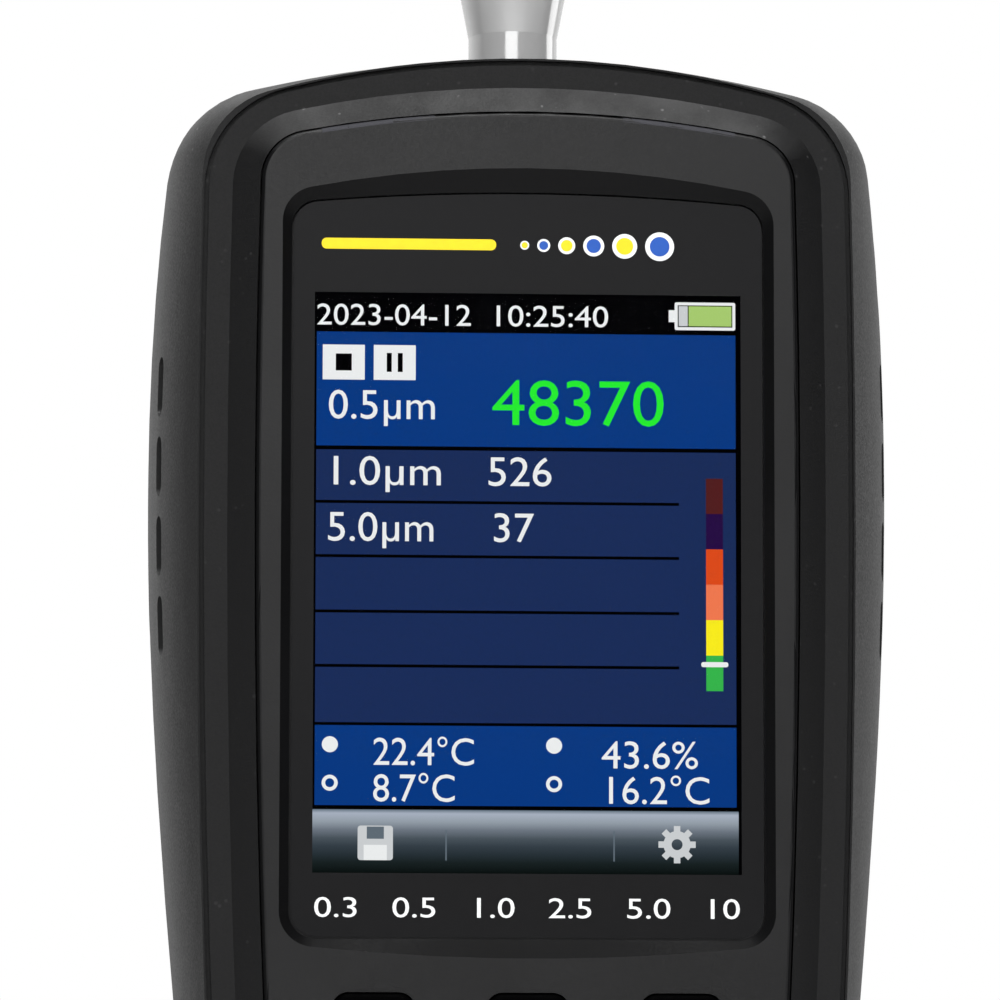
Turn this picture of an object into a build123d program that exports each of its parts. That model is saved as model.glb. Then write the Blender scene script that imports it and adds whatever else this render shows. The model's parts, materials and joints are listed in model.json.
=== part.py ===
"""Handheld airborne particle counter, standing upright on its flat base end.

Millimetres, +Z up along the instrument, front face towards -Y, origin at the middle of the footprint.
The housing is a rigid front and rear half joined at a seam plane, with a soft skin over the front half.
"""
import math
import os
from functools import cache

from build123d import *

os.makedirs("parts", exist_ok=True)

# ---------------------------------------------------------------- housing form
SEAM_Y = -6.5                 # plane where the two halves meet
FRONT_DEPTH = 20.1            # seam to the soft front rim
REAR_DEPTH = 35.0             # seam to the back of the head
GRIP_REAR_Y = 14.0            # back of the grip at its upper end
GRIP_REAR_LEAN = 1.5          # how much shallower the grip is at the base
GRIP_TOP_Z = 97.0             # where the grip's back starts to swell into the head
HEAD_BASE_Z = 130.0           # where the head's back becomes flat
BODY_TOP = 207.1
TOP_RADIUS = 140.0            # arch of the top at the seam
RIM_TOP_RADIUS = 95.0         # arch at the soft rim
ISLAND_TOP_RADIUS = 118.0
SEAM_CORNER = 10.5
BASE_CORNER = 9.0
BASE_DROP = 0.6               # depth of the rounded base that the flat foot cuts away
# height, half-width at the seam, half-width of the raised island on the front
FLANKS = [(0, 28.0, 20.8), (40, 29.4, 22.2), (75, 31.2, 23.9), (112, 34.6, 25.9), (152, 37.4, 26.95)]
SHOULDER_HALF = 35.1          # half-width where the flank reaches the top arc, at the seam
ISLAND_SHOULDER_HALF = 26.5
ISLAND_TOP = 200.2
ISLAND_BASE = 9.0
ISLAND_CORNER = 5.0
RIM_OFFSET = 5.8              # soft front rim, outside the island
REAR_INSET = 6.5              # how far the sides close in at the back of the head
FRONT_SWEEP = 68.0            # degrees of rounding between the flank and the front
REAR_SWEEP = 84.0
REAR_ROUND = 5.0              # radius along the back edges
FORM_SPANS = 3                # lofted spans from the seam to the front, and to the back
BACK_EDGE_HALF = 23.8         # the long back edges lie outside this half-width
FAR = 60.0                    # outside the whole instrument
OVERCUT = 1.0                 # how far a cut runs past the wall it opens
SKIN = 1.4                    # soft skin over the rigid front half
FRONT_WALL = 2.0
REAR_WALL = 2.4
HEAD_REAR_Y = SEAM_Y + REAR_DEPTH
SEAL_GAP = 0.3                # half the thickness of the seal between the halves
SEAL_INSET = 0.8
SEAL_WIDTH = 1.3
SUNK = 1.0                    # how deep added walls are sunk into the outer wall

# ---------------------------------------------------------------- front details
ISLAND_Y = -28.5              # the hard face round the display and keys
ISLAND_EDGE = 0.5
RAMP_WIDTH = 2.8              # soft ramp up to the island
RAMP_FRONT_Y = -28.2
SKIN_GAP = 0.12               # parting line between the skin and the island
GROOVE_OFFSET = 5.1           # styling groove, outside the island
GROOVE_WIDTH = 0.5
GROOVE_DEPTH = 0.7

LENS_HALF = 23.35
LENS_BASE = 117.8
LENS_TOP = 192.0
LENS_TOP_RADIUS = 233.0
LENS_BASE_RADIUS = 9000.0     # all but straight
LENS_CORNER = 2.5
LENS_THICKNESS = 1.4
LENS_GAP = 0.2
LENS_LEDGE = 1.2
RECESS_DEPTH = 0.9
BEZEL_HALF = 24.5
BEZEL_BASE = 115.7
BEZEL_BASE_RADIUS = 214.0
BEZEL_TOP = 194.5
BEZEL_TOP_RADIUS = 112.0
BEZEL_CORNER = 3.5
LEDGE_BACK_Y = -24.8

PANEL_WIDTH = 50.0
PANEL_HEIGHT = 69.2
PANEL_THICKNESS = 2.6
PANEL_CORNER = 0.8
POCKET_CORNER = 1.0
CUSHION_MARGIN = 3.0
CUSHION_HALF_HEIGHT = 28.0
PANEL_Z = 152.7
PANEL_GAP = 0.1
PANEL_SIDE_GAP = 0.2

KEY_SIZE = 7.9
KEY_CORNER = 1.5
KEY_EDGE = 0.5
KEY_PITCH = 15.15
KEY_TOP_Z = 108.2             # centre of the upper row
KEY_PROUD = 0.8
KEY_GAP = 0.2
KEY_TRAVEL = 0.8
KEY_FLANGE = 0.85
KEY_FLANGE_THICKNESS = 0.8
KEY_SEAT = 0.05
KEY_STEM_RADIUS = 2.5
KEY_WALL = 2.2
KEY_POCKET_HALF = 20.3
KEY_POCKET_BASE = 50.0
KEY_POCKET_TOP = 114.5
KEYS = {
    "key_f1": (-1, 0),
    "key_f2": (0, 0),
    "key_f3": (1, 0),
    "key_escape": (-1, 1),
    "key_up": (0, 1),
    "key_power": (1, 1),
    "key_enter": (0, 2),
    "key_down": (0, 3),
}

SLOT_HEIGHT = 6.03
SLOT_WIDTH = 2.4
SLOT_PITCH = 8.07
SLOT_COUNT = 4
SLOT_TOP_Z = 173.7
SLOT_Y = -17.5

# ---------------------------------------------------------------- boards and screws
BOARD_FRONT_Y = -20.5
BOARD_THICKNESS = 1.6
BOARD_HEAD_HALF = 25.5
BOARD_HEAD_TOP = 189.0
BOARD_TAB_HALF = 14.0
BOARD_TAB_TOP = 197.0
BOARD_GRIP_HALF = 22.0
BOARD_STEP_Z = 100.0
BOARD_BASE = 20.0
MAT_THICKNESS = 1.2
MAT_DOME = 1.0
MAT_DOME_RADIUS = 3.0
MAT_GAP = 0.1
MAT_MARGIN = 1.0
CHIP_HEIGHT = 1.4
CHIPS = [                     # x, z, width, height
    (0, 172, 14, 14),
    (15, 160, 8, 10),
    (-12, 150, 10, 6),
    (12, 66, 8, 8),
    (-10, 70, 12, 7),
    (0, 36, 9, 6),
]
SOCKET_DEPTH = 5.0
SOCKET_HALF_HEIGHT = 2.5
SOCKET_SHELL = 0.95
SOCKETS = [(0, 91, 8), (16, 108, 6), (12, 183, 10), (-18, 183, 12)]   # x, z, width
AIR_SENSOR_X = -20.0
AIR_SENSOR_Z = 165.0
AIR_SENSOR_SIZE = 6.0
BUZZER_X = 19.2
BUZZER_Z = 118.5
BUZZER_RADIUS = 6.0
BUZZER_HEIGHT = 4.0
BUZZER_HOLE = 1.0
RIBBON_WIDTH = 18.0
RIBBON_THICKNESS = 0.15
RIBBON_SETBACK = 0.5          # from the back of the display panel
RIBBON_DROP = 1.5
RIBBON_BEND = 0.6
RIBBON_SOCKET_HALF = 10.0
RIBBON_SOCKET_HEIGHT = 1.6
RIBBON_SOCKET_DROP = 1.9

BOARD_POSTS = [(-10.0, 193.0), (10.0, 193.0), (-18.5, 44.0), (18.5, 44.0)]
POST_RADIUS = 2.5
SMALL_SHANK = 1.2
SMALL_HEAD = 2.4
SMALL_HEAD_HEIGHT = 1.6
SMALL_HEAD_EDGE = 0.6
SMALL_LENGTH = 4.0            # under the head
SMALL_BITE = 6.0              # depth of the holes for the small screws
HOUSING_SCREWS = [(-26.0, 193.5), (26.0, 193.5), (-16.0, 8.0), (16.0, 8.0)]
BOSS_RADIUS = 3.6
REAR_BOSS_RADIUS = 4.6
SENSOR_POST_RADIUS = 3.0
SHANK_RADIUS = 1.5
HEAD_RADIUS = 2.8
HEAD_HEIGHT = 2.2
HEAD_EDGE = 0.8
CROSS_REACH = 2.0             # cross recess in the screw heads
CROSS_HALF = 0.3
CROSS_DEPTH = 0.9
BOSS_FLOOR_Y = 0.0            # where the screw heads sit inside the rear bosses
THREAD_BITE = 10.0            # how deep the screws go into the front bosses
FIT = 0.02                    # radial clearance of screws, tubes and inserts
HOLE_GAP = 0.2                # radial clearance of through holes

# ---------------------------------------------------------------- air path
NECK_RADIUS = 4.62
FLARE_BASE_Z = 213.2
PROBE_TOP = 240.0
PROBE_RADIUS = 9.8
PROBE_LIP = 0.8
PROBE_THROAT_RADIUS = 2.2
PROBE_THROAT_BASE = 216.0
PROBE_THROAT_TOP = 219.0
SPIGOT_RADIUS = 3.15
SPIGOT_TOP = 215.5
SPIGOT_FIT = 0.05
COLLAR_RADIUS = 5.5
COLLAR_HEIGHT = 2.1
WASHER_THICKNESS = 0.3
WASHER_GAP = 0.05
WASHER_RADIUS = 4.4
STEM_RADIUS = 4.0
NUT_RADIUS = 6.0
NUT_HEIGHT = 2.8
NUT_DROP = 1.2                # nut below the inner wall, under the arch
BORE_RADIUS = 2.0
BARB_RADIUS = 2.5
BARB_LENGTH = 5.0
STEM_LENGTH = 6.0             # lower stem of the optical block
HOSE_GAP = 0.3                # between a hose end and the shoulder above or below it
TUBE_WALL = 1.4

SENSOR_HALF_X = 13.0
SENSOR_HALF_Y = 9.0
SENSOR_BASE = 154.0
SENSOR_TOP = 186.0
SENSOR_LID = 2.0
SENSOR_FOOT = 7.0
SENSOR_FOOT_THICKNESS = 3.0
LASER_RADIUS = 4.5
LASER_LENGTH = 17.0
LASER_SEAT = 3.0
LASER_FLANGE = 1.0
LASER_FLANGE_THICKNESS = 2.0
LIGHT_TRAP_WALL = 3.0
DETECTOR_THICKNESS = 1.6
DETECTOR_HALF = 11.0
DETECTOR_HALF_HEIGHT = 12.0
CAN_HALF = 7.0
CAN_HEIGHT = 3.0
CAN_CORNER = 1.0

PUMP_Y = -3.0
PUMP_RADIUS = 12.0
PUMP_BASE = 97.0
PUMP_HEAD_BASE = 122.0
PUMP_HEAD_TOP = 138.0
NIPPLE_LENGTH = 4.0
NIPPLE_WALL = 0.7
PORT_DEPTH = 3.0              # of the bores in the pump head
PUMP_EDGE = 1.5
PUMP_HEAD_CORNER = 3.0
SADDLE_MARGIN = 1.0
SADDLE_HEIGHT = 14.0
EXHAUST_X = -8.0
EXHAUST_RADIUS = 2.0
EXHAUST_TUBE_WALL = 1.0
FILTER_X = -21.5
FILTER_RADIUS = 7.5
FILTER_BASE = 102.0
FILTER_TOP = 136.0

# ---------------------------------------------------------------- power
BATTERY_HALF = 19.0
BATTERY_BASE = 16.0
BATTERY_TOP = 84.0
CELL_RADIUS = 9.2
BATTERY_Y = 0.85
TRAY_WALL = 1.5
TRAY_GAP = 0.3
COVER_HALF = 20.1
COVER_BASE = 14.3
COVER_TOP = 95.0
COVER_THICKNESS = 2.0
COVER_GAP = 0.2
COVER_SEAT = 0.05
COVER_TAB_X = 6.0
COVER_TAB_WIDTH = 6.0
COVER_TAB_DEPTH = 5.0
COVER_TAB_REACH = 2.6
COVER_TAB_ROOT = 1.2
COVER_CORNER = 2.0
COVER_SEAT_Y = -5.5           # front of the opening that the cover closes
COVER_BOSS_Y = -4.5           # front end of the boss for the cover screw
COVER_SCREW_SINK = 1.2
COVER_SCREW_LENGTH = 9.0
COVER_SCREW_Z = 90.2

# ---------------------------------------------------------------- ports and back
PORT_Y = 4.0
PORT_Z = 163.0
PORT_WIDTH = 10.0
PORT_HEIGHT = 30.0
PORT_FLOOR_X = -35.4
PORT_GAP = 0.3
FLAP_LIFT = 0.45              # how far the rubber flap stands out of the flank
PORT_PAD_X = -33.2
PORT_PAD_MARGIN = 2.0
SOCKET_FACE_X = -35.2
USB_Z = 171.2
USB_WIDTH = 7.7
USB_HEIGHT = 3.9
USB_LENGTH = 9.0
TONGUE_HALF_THICKNESS = 0.4
TONGUE_HALF_WIDTH = 2.4
SHELL_WALL = 0.4              # sheet metal of both sockets
CARD_Z = 160.6
CARD_WIDTH = 12.0
CARD_HEIGHT = 1.9
CARD_LENGTH = 13.5
PORT_BOARD_Y = 6.2
PORT_BOARD_THICKNESS = 1.2
PORT_POSTS = [(-24.5, 151.8), (-24.5, 178.0)]

INSERT_Z = 146.0
INSERT_RADIUS = 5.0
INSERT_BORE = 2.55            # 1/4-20 UNC minor radius
INSERT_LENGTH = 9.5
INSERT_BOSS = 7.5
INSERT_FLOOR = 2.0
VENT_COUNT = 4
VENT_PITCH = 4.2
VENT_WIDTH = 24.0
VENT_HEIGHT = 1.8
VENT_Z = 176.0


def save(name, shape):
    """Write one piece under its node name."""
    export_step(shape, f"parts/{name}.step")


def block(x, y, z):
    """A box given by its limits along each axis."""
    middle = [(low + high) / 2 for low, high in (x, y, z)]
    return Pos(*middle) * Box(x[1] - x[0], y[1] - y[0], z[1] - z[0])


def rod_y(radius, x, z, start, end):
    """A cylinder along Y."""
    return Pos(x, (start + end) / 2, z) * Rot(90, 0, 0) * Cylinder(radius, abs(end - start))


def rod_z(radius, x, y, start, end):
    """A cylinder along Z."""
    return Pos(x, y, (start + end) / 2) * Cylinder(radius, end - start)


def rod_x(radius, y, z, start, end):
    """A cylinder along X."""
    return Pos((start + end) / 2, y, z) * Rot(0, 90, 0) * Cylinder(radius, end - start)


def face_plane(y):
    """A plane facing the front, with its local Y along +Z."""
    return Plane((0, y, 0), x_dir=(1, 0, 0), z_dir=(0, -1, 0))


def outline(y, lean=0.0, inset=0.0):
    """Instrument outline at depth y: lean 0 is the seam, lean 1 the soft rim round the island."""
    flank = []
    for height, seam_half, island_half in FLANKS:
        half = seam_half + lean * (island_half + RIM_OFFSET - seam_half)
        flank.append((half - inset, height))
    shoulder = SHOULDER_HALF + lean * (ISLAND_SHOULDER_HALF + RIM_OFFSET - SHOULDER_HALF) - inset
    top = BODY_TOP + lean * (ISLAND_TOP + RIM_OFFSET - BODY_TOP) - inset
    base = lean * (ISLAND_BASE - RIM_OFFSET + BASE_DROP) - BASE_DROP + inset
    corner = SEAM_CORNER + lean * (ISLAND_CORNER + RIM_OFFSET - SEAM_CORNER) - inset
    arch = TOP_RADIUS + lean * (RIM_TOP_RADIUS - TOP_RADIUS)
    return closed_outline(y, flank, shoulder, (top, arch), base, (corner, BASE_CORNER - inset))


def island(y, offset=0.0):
    """Outline of the raised island at depth y, grown by offset."""
    flank = [(half + offset, height) for height, _, half in FLANKS]
    arch = ISLAND_TOP_RADIUS + offset / RIM_OFFSET * (RIM_TOP_RADIUS - ISLAND_TOP_RADIUS)
    corner = ISLAND_CORNER + offset
    shoulder = ISLAND_SHOULDER_HALF + offset
    crown = (ISLAND_TOP + offset, arch)
    return closed_outline(y, flank, shoulder, crown, ISLAND_BASE - offset, (corner, corner))


def closed_outline(y, flank, shoulder, crown, base, corners):
    """A symmetric outline: curved flanks, a crown given by height and arch, a straight base."""
    top, arch = crown
    drop = bow(arch, shoulder)
    points = [(flank[0][0], base)] + flank[1:] + [(shoulder, top - drop)]
    with BuildSketch(face_plane(y)) as sketch:
        with BuildLine():
            side = Spline(*points)
            ThreePointArc(points[-1], (0, top), (-shoulder, top - drop))
            mirror(side, about=Plane.YZ)
            Line((-points[0][0], base), (points[0][0], base))
        make_face()
        middle = (top + base) / 2
        fillet([v for v in sketch.vertices() if v.Z > middle], corners[0])
        fillet([v for v in sketch.vertices() if v.Z < middle], corners[1])
    return sketch.sketch.faces()[0]


@cache
def front_form(inset=0.0):
    """The front half: flanks that round over towards the island."""
    sweep = math.radians(FRONT_SWEEP)
    sections = []
    for step in range(FORM_SPANS + 1):
        angle = sweep * step / FORM_SPANS
        reach = (FRONT_DEPTH - inset) * math.sin(angle) / math.sin(sweep)
        lean = (1 - math.cos(angle)) / (1 - math.cos(sweep))
        sections.append(outline(SEAM_Y - reach, lean, inset))
    return above_foot(loft(sections))


@cache
def rear_form(inset=0.0, rounding=0.0):
    """The rear half: a deep head over a slimmer grip."""
    sweep = math.radians(REAR_SWEEP)
    sections = []
    for step in range(FORM_SPANS + 1):
        angle = sweep * step / FORM_SPANS
        reach = (REAR_DEPTH - inset) * math.sin(angle) / math.sin(sweep)
        share = (1 - math.cos(angle)) / (1 - math.cos(sweep))
        sections.append(outline(SEAM_Y + reach, 0, inset + REAR_INSET * share))
    shape = loft(sections) & back_profile(inset)
    if rounding > 0:
        edges = [
            edge
            for edge in shape.edges()
            if abs(edge.center().X) > BACK_EDGE_HALF
            and edge.length > BASE_CORNER
            and edge.center().Y > GRIP_REAR_Y / 2
            and edge.center().Z < BODY_TOP - SEAM_CORNER
        ]
        shape = fillet(edges, rounding)
    return above_foot(shape)


def back_profile(inset):
    """Everything in front of the back surface: straight grip, swelling into the flat head."""
    grip_low = GRIP_REAR_Y - GRIP_REAR_LEAN - inset
    grip_high = GRIP_REAR_Y - inset
    head = HEAD_REAR_Y + OVERCUT - inset
    low = -BASE_CORNER
    ceiling = BODY_TOP + BASE_CORNER
    with BuildSketch(Plane.YZ) as sketch:
        with BuildLine():
            Line((-FAR, low), (grip_low, low))
            Line((grip_low, low), (grip_high, GRIP_TOP_Z))
            Spline(
                (grip_high, GRIP_TOP_Z),
                (head, HEAD_BASE_Z),
                tangents=[(GRIP_REAR_LEAN, GRIP_TOP_Z - low), (0, 1)],
            )
            Line((head, HEAD_BASE_Z), (head, ceiling))
            Line((head, ceiling), (-FAR, ceiling))
            Line((-FAR, ceiling), (-FAR, low))
        make_face()
    return extrude(sketch.sketch, amount=FAR, both=True)


def bow(radius, half):
    """Height of an arc of that radius over its half-width."""
    return radius - math.sqrt(radius**2 - half**2)


def above_foot(shape):
    """Cut the form flat where the instrument stands."""
    return shape - block((-FAR, FAR), (-FAR, FAR), (-FAR, 0))


def behind(start):
    """Everything behind the depth start, to cut the front half off at the seam."""
    return block((-FAR, FAR), (start, FAR), (-FAR, BODY_TOP + FAR))


def before(end):
    """Everything in front of the depth end, to cut the rear half off at the seam."""
    return block((-FAR, FAR), (-FAR, end), (-FAR, BODY_TOP + FAR))


def pane(y, half, base, top, corner):
    """Display-shaped outline: straight sides, a bowed base and top, each given by its height and radius."""
    right_low = (half, base[0] + bow(base[1], half))
    right_high = (half, top[0] - bow(top[1], half))
    left_high = (-right_high[0], right_high[1])
    left_low = (-right_low[0], right_low[1])
    with BuildSketch(face_plane(y)) as sketch:
        with BuildLine():
            Line(right_low, right_high)
            ThreePointArc(right_high, (0, top[0]), left_high)
            Line(left_high, left_low)
            ThreePointArc(left_low, (0, base[0]), right_low)
        make_face()
        fillet(sketch.vertices(), corner)
    return sketch.sketch.faces()[0]


def lens_pane(y, offset=0.0):
    """The display window's own outline, grown by offset."""
    top = (LENS_TOP + offset, LENS_TOP_RADIUS)
    base = (LENS_BASE - offset, LENS_BASE_RADIUS)
    return pane(y, LENS_HALF + offset, base, top, LENS_CORNER + offset)


def slab(face, depth):
    """Extrude a front-facing face backwards."""
    return extrude(face, amount=-depth)


def rounded_bar(x, z, width, height, corner, front, back):
    """A bar along Y with a rounded rectangular section."""
    with BuildSketch(face_plane(front)) as sketch:
        with Locations((x, z)):
            RectangleRounded(width, height, corner)
    return slab(sketch.sketch, back - front)


def side_bar(y, z, width, height, corner, start, end):
    """A bar along X with a rounded rectangular section, width along Y and height along Z."""
    with BuildSketch(Plane.YZ.offset(start)) as sketch:
        with Locations((y, z)):
            RectangleRounded(width, height, corner)
    return extrude(sketch.sketch, amount=end - start)


# ---------------------------------------------------------------- derived places
RIM_Y = SEAM_Y - FRONT_DEPTH
FRONT_INNER_Y = RIM_Y + SKIN + FRONT_WALL
LENS_Y = ISLAND_Y + RECESS_DEPTH
LENS_BACK_Y = LENS_Y + LENS_THICKNESS
KEY_WALL_Y = ISLAND_Y + KEY_WALL
BOARD_BACK_Y = BOARD_FRONT_Y + BOARD_THICKNESS
MAT_FRONT_Y = BOARD_FRONT_Y - MAT_THICKNESS
PANEL_FRONT_Y = LEDGE_BACK_Y + PANEL_GAP
PANEL_BACK_Y = PANEL_FRONT_Y + PANEL_THICKNESS
REAR_INNER_Y = HEAD_REAR_Y - REAR_WALL
COLLAR_TOP = BODY_TOP
COLLAR_BASE = COLLAR_TOP - COLLAR_HEIGHT
PROBE_BASE = COLLAR_TOP + WASHER_THICKNESS + 2 * WASHER_GAP
TRAY_FLOOR_Y = BATTERY_Y - CELL_RADIUS - COVER_GAP
FITTING_BASE = COLLAR_BASE - REAR_WALL - NUT_HEIGHT
SENSOR_MIDDLE = (SENSOR_BASE + SENSOR_TOP) / 2
SENSOR_FOOT_SEAT = SENSOR_HALF_Y - SENSOR_FOOT_THICKNESS
BARB_TOP = PUMP_HEAD_TOP + NIPPLE_LENGTH


def key_centre(name):
    """Place of a key on the island: x and z."""
    column, row = KEYS[name]
    return column * KEY_PITCH, KEY_TOP_Z - row * KEY_PITCH


def side_slots():
    """The four vent slots through each flank."""
    slots = []
    for row in range(SLOT_COUNT):
        height = SLOT_TOP_Z - row * SLOT_PITCH
        for start, end in ((-FAR, -BOARD_HEAD_HALF), (BOARD_HEAD_HALF, FAR)):
            corner = SLOT_WIDTH / 2 - FIT
            slots.append(side_bar(SLOT_Y, height, SLOT_WIDTH, SLOT_HEIGHT, corner, start, end))
    return slots


def make_front_housing():
    """Rigid front half: island, display seat, key holes, screw bosses and board posts."""
    raised = slab(island(ISLAND_Y), FRONT_INNER_Y - ISLAND_Y)
    raised = fillet(raised.faces().sort_by(Axis.Y)[0].edges(), ISLAND_EDGE)
    shape = front_form(SKIN) - front_form(SKIN + FRONT_WALL) + raised
    bezel_base = (BEZEL_BASE, BEZEL_BASE_RADIUS)
    bezel = pane(ISLAND_Y, BEZEL_HALF, bezel_base, (BEZEL_TOP, BEZEL_TOP_RADIUS), BEZEL_CORNER)
    shape -= loft([bezel, lens_pane(LENS_Y, LENS_GAP)])
    shape -= slab(lens_pane(LENS_Y, LENS_GAP), LENS_THICKNESS)
    shape -= slab(lens_pane(LENS_BACK_Y, -LENS_LEDGE), FRONT_INNER_Y - LENS_BACK_Y)
    pocket_width = PANEL_WIDTH + 2 * PANEL_SIDE_GAP
    pocket_height = PANEL_HEIGHT + 2 * PANEL_SIDE_GAP
    shape -= rounded_bar(0, PANEL_Z, pocket_width, pocket_height, POCKET_CORNER, LEDGE_BACK_Y, FRONT_INNER_Y)
    pocket_x = (-KEY_POCKET_HALF, KEY_POCKET_HALF)
    shape -= block(pocket_x, (KEY_WALL_Y, FRONT_INNER_Y), (KEY_POCKET_BASE, KEY_POCKET_TOP))
    for name in KEYS:
        x, z = key_centre(name)
        size = KEY_SIZE + 2 * KEY_GAP
        shape -= rounded_bar(x, z, size, size, KEY_CORNER + KEY_GAP, ISLAND_Y, KEY_WALL_Y)
    for x, z in BOARD_POSTS:
        shape += rod_y(POST_RADIUS, x, z, FRONT_INNER_Y, BOARD_FRONT_Y)
        shape -= rod_y(SMALL_SHANK + FIT, x, z, FRONT_INNER_Y, BOARD_FRONT_Y)
    boss_end = SEAM_Y - SEAL_GAP
    cavity_side = front_form(SKIN)
    for x, z in HOUSING_SCREWS:
        shape += rod_y(BOSS_RADIUS, x, z, FRONT_INNER_Y, boss_end) & cavity_side
        shape -= rod_y(SHANK_RADIUS + FIT, x, z, boss_end - THREAD_BITE - OVERCUT, boss_end)
    shape -= behind(boss_end)
    for slot in side_slots():
        shape -= slot
    return shape


def make_front_overmold():
    """Soft skin over the front half, with its groove, rim band and ramp up to the island."""
    shape = front_form() - front_form(SKIN)
    shape += loft([island(RIM_Y, RAMP_WIDTH), island(RAMP_FRONT_Y, SKIN_GAP)])
    shape -= slab(island(ISLAND_Y, SKIN_GAP), RIM_Y + SKIN - ISLAND_Y)
    groove = slab(island(RIM_Y, GROOVE_OFFSET + GROOVE_WIDTH), GROOVE_DEPTH)
    groove -= slab(island(RIM_Y, GROOVE_OFFSET), GROOVE_DEPTH)
    shape -= groove
    shape -= behind(SEAM_Y - SEAL_GAP)
    for slot in side_slots():
        shape -= slot
    return shape


def make_seal():
    """Flat cord of rubber between the two halves."""
    front = SEAM_Y - SEAL_GAP
    outer = slab(outline(front, 0, SEAL_INSET), 2 * SEAL_GAP)
    return outer - slab(outline(front, 0, SEAL_INSET + SEAL_WIDTH), 2 * SEAL_GAP)


def battery_tray():
    """Open-backed box that holds the battery, moulded into the rear half."""
    inner_half = BATTERY_HALF + TRAY_GAP
    inner_base = BATTERY_BASE - TRAY_GAP
    inner_top = BATTERY_TOP + TRAY_GAP
    shape = block(
        (-inner_half - TRAY_WALL, inner_half + TRAY_WALL),
        (TRAY_FLOOR_Y - TRAY_WALL, GRIP_REAR_Y),
        (inner_base - TRAY_WALL, inner_top + TRAY_WALL),
    )
    shape -= block((-inner_half, inner_half), (TRAY_FLOOR_Y, GRIP_REAR_Y), (inner_base, inner_top))
    shape += rod_y(REAR_BOSS_RADIUS, 0, COVER_SCREW_Z, COVER_BOSS_Y, GRIP_REAR_Y)
    return shape & rear_form(COVER_THICKNESS + COVER_SEAT)


def port_bar(grow, start, end):
    """The rubber flap's outline, swept along X."""
    width = PORT_WIDTH + 2 * grow
    height = PORT_HEIGHT + 2 * grow
    return side_bar(PORT_Y, PORT_Z, width, height, PORT_WIDTH / 2 + grow - FIT, start, end)


def make_rear_housing():
    """Rigid rear half: head, grip, battery tray, bosses, port bay, vents and tripod boss."""
    outer = rear_form(0, REAR_ROUND)
    cavity = rear_form(REAR_WALL)
    shape = outer - cavity
    shape -= block(
        (-COVER_HALF - COVER_GAP, COVER_HALF + COVER_GAP),
        (COVER_SEAT_Y, HEAD_REAR_Y),
        (COVER_BASE - COVER_GAP, COVER_TOP + COVER_GAP),
    )
    shape += battery_tray()
    pad_reach_y = PORT_WIDTH / 2 + PORT_PAD_MARGIN
    pad_reach_z = PORT_HEIGHT / 2 + PORT_PAD_MARGIN
    pad_y = (PORT_Y - pad_reach_y, PORT_Y + pad_reach_y)
    pad_z = (PORT_Z - pad_reach_z, PORT_Z + pad_reach_z)
    shape += block((-FAR, PORT_PAD_X), pad_y, pad_z) & rear_form(SUNK)
    for x, z in HOUSING_SCREWS:
        shape += rod_y(REAR_BOSS_RADIUS, x, z, SEAM_Y + SEAL_GAP, HEAD_REAR_Y) & outer
    for x, z in sensor_posts():
        shape += rod_y(SENSOR_POST_RADIUS, x, z, SENSOR_HALF_Y, REAR_INNER_Y)
        shape -= rod_y(SMALL_SHANK + FIT, x, z, SENSOR_HALF_Y, SENSOR_HALF_Y + SMALL_BITE)
    for x, z in PORT_POSTS:
        back = PORT_BOARD_Y + PORT_BOARD_THICKNESS
        shape += rod_y(POST_RADIUS, x, z, back, REAR_INNER_Y)
        shape -= rod_y(SMALL_SHANK + FIT, x, z, back, back + SMALL_BITE)
    insert_front = HEAD_REAR_Y - INSERT_LENGTH
    shape += rod_y(INSERT_BOSS, 0, INSERT_Z, insert_front - INSERT_FLOOR, REAR_INNER_Y)
    shape -= rod_y(INSERT_RADIUS + FIT, 0, INSERT_Z, insert_front, HEAD_REAR_Y)
    for x, z in HOUSING_SCREWS:
        shape -= rod_y(SHANK_RADIUS + HOLE_GAP, x, z, SEAM_Y, BOSS_FLOOR_Y)
        shape -= rod_y(HEAD_RADIUS + HOLE_GAP, x, z, BOSS_FLOOR_Y, HEAD_REAR_Y)
    shape -= rod_y(SHANK_RADIUS + FIT, 0, COVER_SCREW_Z, COVER_BOSS_Y + OVERCUT, GRIP_REAR_Y)
    notch_depth = (GRIP_REAR_Y - COVER_TAB_DEPTH - OVERCUT, GRIP_REAR_Y)
    notch_top = BATTERY_BASE - TRAY_GAP
    for x in tab_spans(COVER_GAP):
        notch = block(x, notch_depth, (notch_top - TRAY_WALL - OVERCUT, notch_top))
        shape -= notch & rear_form(COVER_THICKNESS)
    shape -= port_bar(PORT_GAP, -FAR, PORT_FLOOR_X)
    shape -= socket_bar(USB_Z, USB_WIDTH, USB_HEIGHT, HOLE_GAP, -FAR, PORT_PAD_X + OVERCUT)
    shape -= socket_bar(CARD_Z, CARD_WIDTH, CARD_HEIGHT, HOLE_GAP, -FAR, PORT_PAD_X + OVERCUT)
    shape -= rod_z(COLLAR_RADIUS + HOLE_GAP, 0, 0, COLLAR_BASE, BODY_TOP + OVERCUT)
    shape -= rod_z(STEM_RADIUS + HOLE_GAP, 0, 0, FITTING_BASE, BODY_TOP)
    vent_corner = VENT_HEIGHT / 2 - FIT
    for row in range(VENT_COUNT):
        height = VENT_Z + row * VENT_PITCH
        shape -= rounded_bar(
            0, height, VENT_WIDTH, VENT_HEIGHT, vent_corner, REAR_INNER_Y - OVERCUT, HEAD_REAR_Y + OVERCUT
        )
    return shape - before(SEAM_Y + SEAL_GAP)


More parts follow.
